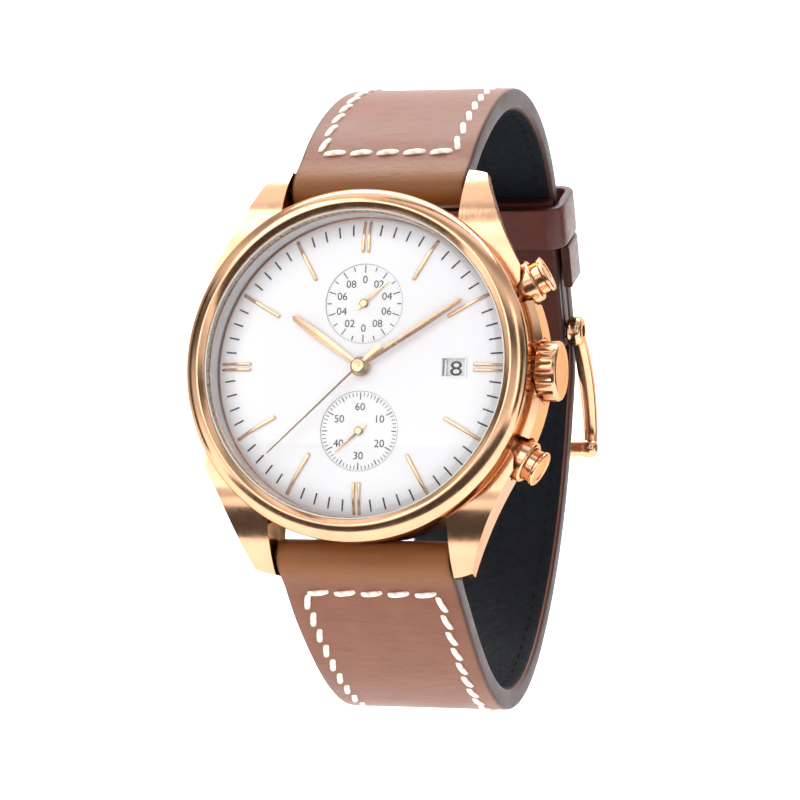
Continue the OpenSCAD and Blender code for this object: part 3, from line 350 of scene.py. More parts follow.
def paper(name, color):
    s = Shade(name)
    s.color(s.mix(s.range(s.noise(6), 0.3, 0.7), color, tuple(c * 0.985 for c in color)))
    s.rough(s.range(s.noise(40), 0.3, 0.7, 0.75, 0.9))
    return s.material


ROSE = linear(226, 178, 142)
M = {
    "rose_gold": metal("rose_gold", ROSE, 0.13, 0.2),
    "rose_hand": metal("rose_gold_bright", linear(238, 192, 152), 0.18, 0.26, fleck=0.02),
    "steel": brushed("steel", (0.62, 0.63, 0.65), 0.24, 0.32, (1200, 6000, 1200)),
    "dark_steel": metal("dark_steel", (0.25, 0.26, 0.28), 0.3, 0.42),
    "brass": brushed("brass", (0.75, 0.56, 0.24), 0.22, 0.36, (3000, 300, 300)),
    "dial_white": dial_paint(),
    "polymer_pale": plastic("polymer_pale", (0.7, 0.68, 0.62), 0.5),
    "rubber_black": plastic("rubber_black", (0.02, 0.02, 0.022), 0.7, 0.02),
    "board_green": plastic("board_green", (0.05, 0.2, 0.09), 0.45),
    "copper_wire": brushed("copper_wire", (0.62, 0.27, 0.12), 0.3, 0.45, (6000, 300, 6000)),
    "leather_brown": outer_leather(),
    "leather_keeper": keeper_leather(),
    "leather_navy": lining_leather(),
    "glass": clear_glass("crystal_glass", (0.985, 0.99, 0.99)),
    # A greyer tint: painted shade for the refraction in the crystal's bevel and rim.
    "glass_rim_painted_shade": clear_glass("crystal_rim_painted_shade", (0.9, 0.905, 0.91)),
    "ink": ink(),
    "dial_edge": plastic("dial_edge", linear(176, 174, 178), 0.4, 0.002),
    # A whitish-grey wall colour: painted reflection of the white dial in the bezel's polished inner
    # wall.
    "rehaut_painted_reflection": plastic("rehaut_painted_reflection", linear(206, 204, 206), 0.22, 0.002),
    # Each thread's second colour is painted shade between its plies.
    "thread": thread("thread_cream", linear(247, 241, 232), linear(196, 176, 156), 0.2),
    "thread_dark": thread("thread_dark", linear(8, 9, 14), linear(3, 4, 7), 0.0),
    "flag": plastic("flag_black", (0.015, 0.012, 0.01), 0.9),
    "floor": paper("studio_floor", (0.93, 0.93, 0.93)),
}

# Every carried-over CAD node takes the material of its slot in the record
SLOT_OF = {part["node"]: part["material_slot"] for part in frame["record"]["subparts"]}
BODY_OF = {n: b for b, nodes in frame["record"]["behaviour"]["bodies"].items() for n in nodes}


def dress(obj, material):
    obj.data.materials.clear()
    obj.data.materials.append(material)


for node_name, node_object in frame["nodes"].items():
    dress(node_object, M[SLOT_OF[node_name]])


# ---- Mesh tools ----

def finish_mesh(bm, name, material, node=None, body=None, matrix=None, sharp=35):
    """Turns a bmesh in millimetres into a piece that rides on a body."""
    bm.transform(TO_METRES @ (matrix or Matrix.Identity(4)))
    bmesh.ops.remove_doubles(bm, verts=bm.verts, dist=2e-7)
    bmesh.ops.recalc_face_normals(bm, faces=bm.faces)
    limit = radians(sharp)
    for face in bm.faces:
        face.smooth = True
    for edge in bm.edges:
        edge.smooth = len(edge.link_faces) == 2 and edge.calc_face_angle(0) < limit
    mesh = mesh_from(bm, name)
    obj = link_new(name, mesh)
    for each in material if isinstance(material, list) else [material]:
        mesh.materials.append(each)
    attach(obj, body or BODY_OF[node])
    if node:
        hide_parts(node)
    return obj


def apply_modifiers(obj):
    bpy.context.view_layer.update()
    graph = bpy.context.evaluated_depsgraph_get()
    mesh = bpy.data.meshes.new_from_object(obj.evaluated_get(graph))
    obj.modifiers.clear()
    obj.data = mesh


def soften(obj, width, segments=3, angle=28):
    """Rounds the sharp edges of a piece by a small bevel."""
    bevel = obj.modifiers.new("bevel", "BEVEL")
    bevel.width = width * MM
    bevel.segments = segments
    bevel.limit_method = "ANGLE"
    bevel.angle_limit = radians(angle)
    bevel.harden_normals = False
    bevel.use_clamp_overlap = True
    apply_modifiers(obj)
    for polygon in obj.data.polygons:
        polygon.use_smooth = True
    weighted = obj.modifiers.new("weighted", "WEIGHTED_NORMAL")
    weighted.keep_sharp = False
    weighted.weight = 80
    apply_modifiers(obj)


def softened_copy(node, width, material=None, segments=3, angle=28):
    """A CAD node's own shape with its hard edges rounded, standing in for the node."""
    bm = bmesh.new()
    bm.from_mesh(frame["nodes"][node].data)
    bmesh.ops.remove_doubles(bm, verts=bm.verts, dist=1e-7)
    bmesh.ops.dissolve_limit(bm, angle_limit=radians(0.6), verts=bm.verts, edges=bm.edges)
    bm.transform(Matrix.Scale(1 / MM, 4))
    obj = finish_mesh(bm, node + "_look", material or M[SLOT_OF[node]], node=node)
    soften(obj, width, segments, angle)
    return obj


def rounded(points, radius, steps=4):
    """Closed outline with each corner cut back by radius and bent into a curve."""
    out = []
    count = len(points)
    for i, corner in enumerate(points):
        before = Vector(points[i - 1])
        after = Vector(points[(i + 1) % count])
        corner = Vector(corner)
        into = before - corner
        away = after - corner
        cut = min(radius, into.length * 0.45, away.length * 0.45)
        start = corner + into.normalized() * cut
        end = corner + away.normalized() * cut
        for k in range(steps + 1):
            t = k / steps
            out.append(start * (1 - t) ** 2 + corner * 2 * t * (1 - t) + end * t ** 2)
    return out


def add_lathe(bm, profile, segments, matrix=None):
    """Turns a closed (r, z) outline round the local Z axis."""
    rings = []
    for i in range(segments):
        a = 2 * pi * i / segments
        ring = [bm.verts.new((r * cos(a), r * sin(a), z)) for r, z in profile]
        rings.append(ring)
    for i in range(segments):
        a, b = rings[i], rings[(i + 1) % segments]
        for k in range(len(profile)):
            n = (k + 1) % len(profile)
            if profile[k][0] < 1e-9 and profile[n][0] < 1e-9:
                continue
            bm.faces.new((a[k], b[k], b[n], a[n]))
    if matrix:
        bmesh.ops.transform(bm, matrix=matrix, verts=[v for ring in rings for v in ring])


def add_prism(bm, outline, low, high):
    """A straight block on a 2-D outline."""
    bottom = [bm.verts.new((p[0], p[1], low)) for p in outline]
    top = [bm.verts.new((p[0], p[1], high)) for p in outline]
    count = len(outline)
    bm.faces.new(top)
    bm.faces.new(list(reversed(bottom)))
    for i in range(count):
        n = (i + 1) % count
        bm.faces.new((bottom[i], bottom[n], top[n], top[i]))


def add_loft(bm, rings, closed_path=False, marks=None):
    """Skins a list of equal rings of points; marks gives an attribute value per ring point."""
    layers = bm.verts.layers.float
    for key in marks or ():
        if key not in layers:
            layers.new(key)
    made = [[bm.verts.new(p) for p in ring] for ring in rings]
    count = len(rings[0])
    spans = len(rings) if closed_path else len(rings) - 1
    for i in range(spans):
        a, b = made[i], made[(i + 1) % len(rings)]
        for k in range(count):
            n = (k + 1) % count
            bm.faces.new((a[k], a[n], b[n], b[k]))
    if not closed_path:
        bm.faces.new(list(reversed(made[0])))
        bm.faces.new(made[-1])
    for key, values in (marks or {}).items():
        layer = layers[key]
        for ring, row in zip(made, values):
            for vert, value in zip(ring, row):
                vert[layer] = value
    return made


def turn_z(degrees):
    return Matrix.Rotation(radians(degrees), 4, "Z")


# ---- Case ----

bezel_low, bezel_high = box_mm("bezel")
BEZEL_R = (bezel_high.x - bezel_low.x) / 2
BEZEL_BOTTOM = -bezel_high.y
BEZEL_TOP = -bezel_low.y
crystal_low, crystal_high = box_mm("crystal")
CRYSTAL_R = crystal_high.x
CRYSTAL_SEAT = -crystal_high.y
CRYSTAL_TOP = -crystal_low.y
DIAL_R = box_mm("dial")[1].x
DIAL_TOP = -box_mm("dial")[0].y
GASKET_R = box_mm("crystal_gasket")[1].x
BEZEL_BAND = 1.7
BEZEL_DROP = 1.8
BEZEL_SWEEP = 66
BEZEL_STEPS = 14
JOINT_DEPTH = 0.8
JOINT_HIGH = 0.25


def build_bezel():
    crest = BEZEL_R - BEZEL_BAND
    wall = BEZEL_TOP - BEZEL_DROP
    sweep = radians(BEZEL_SWEEP)
    slope = []
    for i in range(BEZEL_STEPS + 1):
        a = radians(BEZEL_SWEEP * i / BEZEL_STEPS)
        run = (1 - cos(a)) / (1 - cos(sweep))
        rise = sin(a) / sin(sweep)
        slope.append((BEZEL_R - BEZEL_BAND * run, wall + (BEZEL_TOP - wall) * rise))
    under = BEZEL_R - JOINT_DEPTH
    joint = BEZEL_BOTTOM + JOINT_HIGH
    outline = [
        (DIAL_R, BEZEL_BOTTOM), (under, BEZEL_BOTTOM), (under, joint), (BEZEL_R - 0.25, joint),
        (BEZEL_R, BEZEL_BOTTOM + 0.5), *slope,
        (crest - 0.2, BEZEL_TOP), (GASKET_R, BEZEL_TOP - 0.4),
        (GASKET_R, CRYSTAL_SEAT), (DIAL_R, CRYSTAL_SEAT),
    ]
    bm = bmesh.new()
    add_lathe(bm, rounded(outline, 0.07, 3), 256)
    obj = finish_mesh(bm, "bezel_look", [M["rose_gold"], M["rehaut_painted_reflection"]], node="bezel", matrix=FACE,
                      sharp=60)
    # The bezel's inner wall takes the whitish-grey painted reflection of the dial.
    for polygon in obj.data.polygons:
        c = polygon.center / MM
        if hypot(c.x, c.z) < DIAL_R + 0.12:
            polygon.material_index = 1


def build_crystal():
    """The dome and its polished bevel; the bevel and rim are a greyer glass, painted shade for their
    refraction.
    """
    edge = CRYSTAL_TOP - 0.7
    bevel_r = CRYSTAL_R - 0.7
    dome_edge = CRYSTAL_TOP - 0.3
    dome = [(bevel_r * (1 - i / 12), dome_edge + 0.3 * (1 - (1 - i / 12) ** 2)) for i in range(13)]
    outline = [(0, CRYSTAL_SEAT), (CRYSTAL_R - 0.1, CRYSTAL_SEAT), (CRYSTAL_R, CRYSTAL_SEAT + 0.1),
               (CRYSTAL_R, edge), *dome]
    bm = bmesh.new()
    add_lathe(bm, outline, 192)
    obj = finish_mesh(bm, "crystal_look", [M["glass"], M["glass_rim_painted_shade"]], node="crystal", matrix=FACE,
                      sharp=20)
    for polygon in obj.data.polygons:
        c = polygon.center / MM
        if hypot(c.x, c.z) > bevel_r:
            polygon.material_index = 1


build_bezel()
build_crystal()
softened_copy("case_middle", 0.14, segments=3, angle=24)
softened_copy("case_back", 0.08, segments=2)
softened_copy("crystal_gasket", 0.04, segments=1)


# ---- Dial ----

DIAL_FLAT_R = 14.8
DIAL_DROP = 0.8
wheel_low, wheel_high = box_mm("counter_wheel")
SUB_Y = wheel_high.z - (wheel_high.z - wheel_low.z) / 2
SUB_R = 4.85
SUB_FLOOR = DIAL_TOP - 0.15
SUB_TICK_OUT = 4.65
NUMERAL_R = 2.95
NUMERAL_SIZE = 1.3
INK_H = 0.025
INK_LIFT = 0.004


def rim_fall(r):
    if r < DIAL_FLAT_R:
        return 0.0
    return DIAL_DROP * ((r - DIAL_FLAT_R) / (DIAL_R - DIAL_FLAT_R)) ** 2


def add_tick(bm, angle, r_in, r_out, width, steps=5, centre=(0, 0), level=None):
    """A printed stroke that points at the centre and follows the dial's curved rim."""
    def height(r):
        return (DIAL_TOP - rim_fall(r) if level is None else level) + INK_LIFT
    rings = []
    for i in range(steps + 1):
        r = r_in + (r_out - r_in) * i / steps
        z = height(r)
        top = z + INK_H
        half = width / 2
        rings.append([(r, -half, z), (r, half, z), (r, half, top), (r, -half, top)])
    made = add_loft(bm, rings)
    matrix = Matrix.Translation((*centre, 0)) @ turn_z(90 - angle)
    bmesh.ops.transform(bm, matrix=matrix, verts=[v for ring in made for v in ring])


def add_label(bm, text, size, at, level, stretch=1.0):
    """Plain numerals, cut from Blender's own font and widened by stretch."""
    curve = bpy.data.curves.new("label", "FONT")
    curve.body = text
    curve.size = size
    curve.align_x = "CENTER"
    curve.align_y = "CENTER"
    curve.extrude = INK_H / 2
    curve.resolution_u = 4
    obj = bpy.data.objects.new("label", curve)
    mesh = bpy.data.meshes.new_from_object(obj)
    start = len(bm.verts)
    bm.from_mesh(mesh)
    bm.verts.ensure_lookup_table()
    new = bm.verts[start:]
    middle_x = (min(v.co.x for v in new) + max(v.co.x for v in new)) / 2
    middle_y = (min(v.co.y for v in new) + max(v.co.y for v in new)) / 2
    for v in new:
        x = (v.co.x - middle_x) * stretch + at[0]
        v.co = Vector((x, v.co.y - middle_y + at[1], v.co.z + level + INK_H / 2 + INK_LIFT))
    bpy.data.objects.remove(obj)


def polar(r, clock):
    a = radians(90 - clock)
    return r * cos(a), r * sin(a)


def add_numerals(bm, labels, y):
    """A sub-dial's numerals, spread evenly round its centre."""
    for i, label in enumerate(labels):
        x, up = polar(NUMERAL_R, i * (360 // len(labels)))
        add_label(bm, label, NUMERAL_SIZE, (x, up + y), SUB_FLOOR)


def build_dial_print():
    bm = bmesh.new()
    for i in range(60):
        if i % 5:
            add_tick(bm, i * 6, 16.0, 17.4, 0.2)
    for i in range(20):
        long = i % 2 == 0
        add_tick(bm, i * 18, 3.75 if long else 4.1, SUB_TICK_OUT, 0.12, 1, (0, SUB_Y), SUB_FLOOR)
    add_numerals(bm, ["0", "02", "04", "06", "08"] * 2, SUB_Y)
    for i in range(60):
        big, half = i % 10 == 0, i % 5 == 0
        inner = 3.8 if big else (4.0 if half else 4.2)
        wide = 0.12 if half else 0.08
        add_tick(bm, i * 6, inner, SUB_TICK_OUT, wide, 1, (0, -SUB_Y), SUB_FLOOR)
    add_numerals(bm, ["60", "10", "20", "30", "40", "50"], -SUB_Y)
    finish_mesh(bm, "dial_print", M["ink"], body="case", matrix=FACE)


def build_date():
    """The day's numeral on the ring, under the window."""
    low, high = box_mm("date_ring")
    middle = (high.x + 9.9) / 2
    bm = bmesh.new()
    add_label(bm, "8", 2.5, (middle - 0.1, 0), -low.y, 1.35)
    finish_mesh(bm, "date_numeral", M["ink"], body="date_ring", matrix=FACE)


def build_dial():
    """The CAD dial with smooth shading, and thin raised rims round the sub-dials."""
    softened_copy("dial", 0.03, segments=2, angle=40)
    bm = bmesh.new()
    for side in (-1, 1):
        ring = [(SUB_R - 0.05, SUB_FLOOR), (SUB_R + 0.01, SUB_FLOOR),
                (SUB_R + 0.01, DIAL_TOP + 0.01), (SUB_R - 0.05, DIAL_TOP)]
        add_lathe(bm, ring, 96, matrix=Matrix.Translation((0, side * SUB_Y, 0)))
    finish_mesh(bm, "subdial_rims", M["dial_edge"], body="case", matrix=FACE)


build_dial()
build_dial_print()
build_date()


def build_markers():
    """Rose gold markers; the frame round the date window is the dial's own white."""
    markers = softened_copy("applied_markers", 0.07, [M["rose_hand"], M["dial_white"]], segments=2)
    for polygon in markers.data.polygons:
        c = polygon.center / MM
        if 9.5 < c.x < 13.1 and abs(c.z) < 1.7:
            polygon.material_index = 1


build_markers()


# ---- Hands ----

def add_blade(bm, outline, low, high, ridge):
    """A hand's blade: an outline with a point at its tip, and a raised ridge along the middle."""
    bottom = [bm.verts.new((x, y, low)) for x, y in outline]
    top = [bm.verts.new((x, y, high)) for x, y in outline]
    count = len(outline)
    bm.faces.new(list(reversed(bottom)))
    for i in range(count):
        n = (i + 1) % count
        bm.faces.new((bottom[i], bottom[n], top[n], top[i]))
    reach = [y for _, y in outline]
    spine = [bm.verts.new((0, y, high + ridge)) for y in (min(reach) + 0.1, max(reach) - 0.5)]
    right = sorted((v for v in top if v.co.x > 1e-6), key=lambda v: v.co.y)
    left = sorted((v for v in top if v.co.x < -1e-6), key=lambda v: v.co.y)
    tip = next(v for v in top if abs(v.co.x) <= 1e-6)
    bm.faces.new([*right, spine[1], spine[0]])
    bm.faces.new([spine[0], spine[1], *reversed(left)])
    bm.faces.new([left[0], right[0], spine[0]])
    bm.faces.new([right[-1], tip, spine[1]])
    bm.faces.new([tip, left[-1], spine[1]])


def hand_outline(tip, *halves):
    """A hand's outline from its right side, given as (half width, distance) from the root out."""
    back = [(-x, y) for x, y in reversed(halves[1:])]
    return [(-halves[0][0], halves[0][1]), *halves, (0, tip), *back]


def add_hub(bm, r_out, r_in, low, high):
    outline = [(r_in, low), (r_out, low), (r_out, high - 0.1), (r_out - 0.15, high),
               (r_in + 0.05, high), (r_in, high - 0.05)]
    add_lathe(bm, outline, 64)


def clock_matrix(angle, centre=(0, 0)):
    return FACE @ Matrix.Translation((*centre, 0)) @ turn_z(-angle)


def level_of(node):
    """A hand's lowest and highest level over the case back's face."""
    low, high = box_mm(node)
    return -high.y, -low.y


MINUTE_ANGLE = 57
HOUR_ANGLE = 304.75
CHRONO_ANGLE = 226
SECONDS_ANGLE = 228
COUNTER_ANGLE = 48


def finish_hand(bm, node, matrix, sharp):
    finish_mesh(bm, node + "_look", M["rose_hand"], node=node, matrix=matrix, sharp=sharp)


def build_hands():
    hour = hand_outline(10.7, (0.34, 1.1), (0.52, 6.4), (0.4, 10.2))
    minute = hand_outline(14.9, (0.28, 0.95), (0.4, 8.9), (0.3, 14.4))
    for node, r_out, r_in, outline, angle in (("hour_hand", 1.2, 0.82, hour, HOUR_ANGLE),
                                              ("minute_hand", 1.05, 0.5, minute, MINUTE_ANGLE)):
        low, high = level_of(node)
        bm = bmesh.new()
        add_hub(bm, r_out, r_in, low, high)
        add_blade(bm, outline, low, low + 0.13, 0.12)
        finish_hand(bm, node, clock_matrix(angle), 15)

    low, high = level_of("chrono_hand")
    bm = bmesh.new()
    cap = [(0, low), (0.85, low), (0.88, high - 0.12), (0.7, high), (0.25, high),
           (0.2, high - 0.02), (0, high - 0.02)]
    add_lathe(bm, cap, 64)
    add_blade(bm, hand_outline(15.4, (0.13, 0.8), (0.08, 15.1)), low, low + 0.08, 0.05)
    tail = [(-0.14, -0.8), (0.14, -0.8), (0.3, -3.4), (0.18, -3.7), (-0.18, -3.7), (-0.3, -3.4)]
    add_prism(bm, tail, low, low + 0.15)
    finish_hand(bm, "chrono_hand", clock_matrix(CHRONO_ANGLE), 25)

    for node, angle, y in (("small_seconds_hand", SECONDS_ANGLE, -SUB_Y),
                           ("counter_hand", COUNTER_ANGLE, SUB_Y)):
        low, high = level_of(node)
        bm = bmesh.new()
        add_lathe(bm, [(0, low), (0.48, low), (0.5, high - 0.08), (0.38, high), (0, high)], 48)
        add_blade(bm, hand_outline(3.9, (0.17, 0.3), (0.07, 3.8)), low, low + 0.09, 0.05)
        tail = [(-0.16, -1.1), (0.16, -1.1), (0.16, -0.35), (-0.16, -0.35)]
        add_prism(bm, tail, low, low + 0.14)
        finish_hand(bm, node, clock_matrix(angle, (0, y)), 25)


build_hands()


# ---- Crown and pushers ----

softened_copy("crown", 0.07, segments=2, angle=30)
MID_R = 20.8
STEM_Z = 4.8
COLLAR_R = 2.6
COLLAR_IN = MID_R - 0.3
COLLAR_OUT = COLLAR_IN + 2.7
CAP_R = 2.0
CAP_BORE_R = 2.05
CAP_IN = COLLAR_OUT - 0.9
CAP_OUT = 1.6
TUBE_R = 1.5
STEM_R = 0.8
TUBE_IN = box_mm("main_plate")[1].x + 1.4
STEM_TIP = TUBE_IN - 0.6
PUSHER_ANGLE = 28.5


def outward(angle):
    """A matrix whose +Z points out of the case at the stem's height, at an angle from the crown."""
    level = FACE @ Matrix.Translation((0, 0, STEM_Z)) @ turn_z(angle)
    return level @ Matrix.Rotation(radians(90), 4, "Y")


def build_pushers():
    """Turned collars with their groove, and polished caps with a lip and a shallow dished end."""
    collar = [
        (STEM_R + 0.06, TUBE_IN), (TUBE_R, TUBE_IN), (TUBE_R, COLLAR_IN), (COLLAR_R, COLLAR_IN),
        (COLLAR_R, COLLAR_IN + 0.3), (COLLAR_R - 0.25, COLLAR_IN + 0.4),
        (COLLAR_R - 0.25, COLLAR_IN + 0.6), (COLLAR_R, COLLAR_IN + 0.72),
        (COLLAR_R, COLLAR_OUT - 0.2), (COLLAR_R - 0.2, COLLAR_OUT),
        (CAP_BORE_R, COLLAR_OUT), (CAP_BORE_R, COLLAR_IN + 0.4), (STEM_R + 0.06, COLLAR_IN + 0.4),
    ]
    bm = bmesh.new()
    for side in (-1, 1):
        add_lathe(bm, rounded(collar, 0.07, 3), 96, matrix=outward(side * PUSHER_ANGLE))
    finish_mesh(bm, "pusher_collars_look", M["rose_gold"], node="pusher_collars", sharp=50)
    end = COLLAR_OUT + CAP_OUT
    cap = [
        (STEM_R, CAP_IN), (CAP_R, CAP_IN), (CAP_R, end - 0.6), (CAP_R + 0.18, end - 0.45),
        (CAP_R + 0.2, end - 0.15), (CAP_R + 0.05, end), (CAP_R - 0.35, end),
        (CAP_R - 0.55, end - 0.05),
    ]
    for side, name in ((1, "start_button"), (-1, "reset_button")):
        place = outward(side * PUSHER_ANGLE)
        stem_top = COLLAR_OUT - 0.5
        bm = bmesh.new()
        outline = [*rounded([(0, CAP_IN), *cap], 0.06, 3)[4:], (0, end - 0.05), (0, CAP_IN)]
        add_lathe(bm, outline, 96, matrix=place)
        stem = [(0, STEM_TIP), (STEM_R, STEM_TIP), (STEM_R, stem_top), (0, stem_top)]
        add_lathe(bm, stem, 48, matrix=place)
        finish_mesh(bm, name + "_look", M["rose_gold"], node=name, sharp=50)


def build_springs():
    """The pushers' return springs, each a copy of its CAD node with a mesh of its own."""
    for side, name, joint in ((1, "start_spring", "start_press"),
                              (-1, "reset_spring", "reset_press")):
        bm = bmesh.new()
        bm.from_mesh(frame["nodes"][name].data)
        bm.transform(Matrix.Scale(1 / MM, 4))
        spring = finish_mesh(bm, name + "_look", M["steel"], node=name, sharp=60)
        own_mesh(spring)


build_pushers()
build_springs()


# ---- Strap routes, the same arcs as the CAD's ----

BAR_DEPTH = 2.6
BAR_Z = (box_mm("lug_spring_bars")[1].z - box_mm("lug_spring_bars")[0].z) / 2 - 0.75
ARCH_12 = [(5, -12), (6, -11), (9, -12), (8, -14), (8, -17), (9, -21), (7, -18), (5, -17),
           (17.6, 0)]
ARCH_6 = [(5, 5), (6, 5), (9, 6), (9, 14), (9, 25), (9, 23), (9, 17), (10, 12), (10, 10), (12, 11)]
LEATHER_T = 1.7
LINING_T = 1.1
INLAY = 0.2
INLAY_MARGIN = 0.45
LINING_LOOK_T = 0.6
ROLL_CLEAR = 2.4
ROLL_SWEEP = 205
HALF_T = (LEATHER_T + LINING_T) / 2
TAIL_GAP = 0.12
FLAP_T = 1.4
FLAP_LEN = 19.5
TAIL_LEN = 16.5
LUG_ROLL_R = 2.1
BUCKLE_ROLL_R = 2.2
HOLE_R = 0.8
STRAP_END_HALF = 10.1


def walk(start, pairs, step=0.6):
    """A route in the Y-Z plane from [length, turn] pairs, as (y, z, heading) points."""
    y, z, heading = start
    out = [(y, z, heading)]
    for length, turn in pairs:
        count = max(1, round(length / step))
        for _ in range(count):
            mid = radians(heading + turn / count / 2)
            y += length / count * cos(mid)
            z += length / count * sin(mid)
            heading += turn / count
            out.append((y, z, heading))
    return out


def beside(point, d):
    y, z, heading = point
    h = radians(heading)
    return Vector((y - d * sin(h), z + d * cos(h)))


def bridge_over(a, b, reach, count):
    """A smooth curve from route point a to route point b, without the two ends."""
    ha, hb = radians(a[2]), radians(b[2])
    p0, p3 = Vector(a[:2]), Vector(b[:2])
    p1 = p0 + reach * Vector((cos(ha), sin(ha)))
    p2 = p3 - reach * Vector((cos(hb), sin(hb)))
    out = []
    for i in range(1, count):
        t = i / count
        u = 1 - t
        p = p0 * u ** 3 + p1 * 3 * u * u * t + p2 * 3 * u * t * t + p3 * t ** 3
        d = (p1 - p0) * u * u + (p2 - p1) * 2 * u * t + (p3 - p2) * t * t
        out.append((p.x, p.y, math.degrees(math.atan2(d.y, d.x))))
    return out


route_12 = walk((-BAR_DEPTH, BAR_Z, 62), ARCH_12)
route_6 = walk((-BAR_DEPTH, -BAR_Z, -44), ARCH_6)
end_12 = route_12[-1]
UP_STRAP = end_12[2] + 180
BAR_AT = beside(end_12, -(BUCKLE_ROLL_R - HALF_T))
tail_from = (*beside(end_12, 2 * HALF_T + TAIL_GAP), UP_STRAP)
route_tail = walk(tail_from, [(TAIL_LEN, 0)])
route_long = route_6 + bridge_over(route_6[-1], tail_from, 5.5, 22) + route_tail


def with_runs(route):
    """Each route point with its distance from the route's start."""
    run = 0.0
    for i, p in enumerate(route):
        if i:
            run += hypot(p[0] - route[i - 1][0], p[1] - route[i - 1][1])
        yield run, p


def half_width(y):
    """Half the strap's width at a depth y."""
    full, narrow = 11.0, STRAP_END_HALF
    t = min(1, max(0, (y - 5) / 41))
    return full + (narrow - full) * t


def sheet_ring(outer, inner, half, radius, steps=4, across=12):
    """The strap's cross-section at one place: a flat bar with rounded corners, in 3-D."""
    depth = outer - inner
    thick = depth.length
    r = min(radius, thick * 0.49)
    points = []
    marks = []
    corner = []
    for k in range(steps + 1):
        a = radians(90 * k / steps)
        corner.append((half - r + r * sin(a), thick - r + r * cos(a)))
    top = [(-(half - r) + 2 * (half - r) * k / across, thick) for k in range(across)]
    low_corner = [(x, thick - t) for x, t in reversed(corner)]
    bottom = [(-x, 0) for x, _ in top]
    left_low = [(-x, thick - t) for x, t in corner]
    left_high = [(-x, t) for x, t in reversed(corner)]
    outline = top + corner + low_corner + bottom[1:] + left_low + left_high[:-1]
    for x, t in outline:
        base = inner + depth * (t / thick)
        points.append((x, base.x, base.y))
        marks.append(max(0.0, min(1.0, (abs(x) - (half - r * 0.75)) / (r * 0.5))))
    return points, marks


def sheet_piece(name, node, material, stations, radius, wear=None, painted_shade=None):
    """Lofts a strap layer through stations of (outer point, inner point, half width)."""
    rings, edges, worn, shade = [], [], [], []
    for i, (outer, inner, half) in enumerate(stations):
        points, marks = sheet_ring(outer, inner, half, radius)
        rings.append(points)
        edges.append(marks)
        worn.append([(wear[i] if wear else 0.0)] * len(points))
        # Each ring's painted shade amount, which the leather's colour reads.
        shade.append([(painted_shade[i] if painted_shade else 0.0)] * len(points))
    bm = bmesh.new()
    add_loft(bm, rings, marks={"edge": edges, "wear": worn, "painted_shade": shade})
    return finish_mesh(bm, name, material, node=node, sharp=50)


def arc_points(centre, radius, start, stop, count):
    out = []
    for i in range(count + 1):
        a = radians(start + (stop - start) * i / count)
        out.append(Vector(centre) + radius * Vector((cos(a), sin(a))))
    return out


def lug_roll(side):
    """Stations that wrap the leather round a lug's spring bar, from under the strap to its top."""
    route = route_12 if side > 0 else route_6
    heading = route[0][2]
    centre = (-BAR_DEPTH, side * BAR_Z)
    start = heading + side * (90 + ROLL_SWEEP)
    stop = heading + side * 90
    outer = arc_points(centre, LUG_ROLL_R, start, stop, 26)
    inner = arc_points(centre, HOLE_R, start, stop, 26)
    return [(o, n, half_width(-5)) for o, n in zip(outer, inner)]


def eased(s, long):
    t = min(1, max(0, s / long))
    return t * t * (3 - 2 * t)


def body_stations(route, side):
    """The strap's outer leather along its route; near the lug it is as thick as the roll."""
    out = []
    for run, p in with_runs(route):
        if run < 0.4:
            continue
        bulge = (LUG_ROLL_R - HALF_T) * (1 - eased(run, 5.2)) ** 1.5
        outer = beside(p, side * (HALF_T + bulge))
        out.append((outer, beside(p, -side * (HALF_T - INLAY)), half_width(p[0]), run))
    return out


def roll_wear(roll):
    return [0.9 * eased(i - 4, 10) for i in range(len(roll))]


def body_wear(run):
    return 0.9 * (1 - eased(run - 1.2, 3.2))


def tip_taper(left):
    """The share of the free end's width that is left near its rounded tip."""
    tip = TAIL_LEN * 0.4
    return 1.0 if left > tip else math.sqrt(max(0.04, 1 - (1 - left / tip) ** 2.4))


def build_strap_12():
    roll = lug_roll(1)
    body = body_stations(route_12, 1)
    wrap_outer = arc_points(BAR_AT, BUCKLE_ROLL_R, UP_STRAP - 90, UP_STRAP - 270, 22)
    wrap_inner = arc_points(BAR_AT, HOLE_R, UP_STRAP - 90, UP_STRAP - 270, 22)
    narrow = half_width(80)
    wrap = [(o, n, narrow) for o, n in zip(wrap_outer, wrap_inner)]
    flap = [(beside(p, -HALF_T - FLAP_T), beside(p, -HALF_T), half_width(p[0]))
            for run, p in with_runs(route_12[::-1]) if 0.4 < run < FLAP_LEN]
    stations = roll + [s[:3] for s in body[:-1]] + wrap + flap
    wear = roll_wear(roll) + [body_wear(s[3]) for s in body[:-1]]
    wear += [0.15] * (len(wrap) + len(flap))
    # Painted shade: the body darkens towards the buckle, and the wrap and flap are fully shaded.
    far = len(body) - 1
    painted_shade = [0.0] * len(roll) + [eased(i - far * 0.45, far * 0.2) for i in range(far)]
    painted_shade += [1.0] * (len(wrap) + len(flap))
    sheet_piece("strap_12_leather_look", "strap_12_leather", M["leather_brown"], stations, 0.5,
                wear, painted_shade)
    lining = []
    for p in route_12:
        away = hypot(p[0] + BAR_DEPTH, p[1] - BAR_Z)
        near_bar = (Vector(p[:2]) - BAR_AT).length
        if away > ROLL_CLEAR and near_bar > ROLL_CLEAR:
            half = half_width(p[0]) - INLAY_MARGIN
            lining.append((beside(p, -HALF_T + LINING_LOOK_T), beside(p, -HALF_T), half))
    sheet_piece("strap_12_lining_look", "strap_12_lining", M["leather_navy"], lining, 0.18)


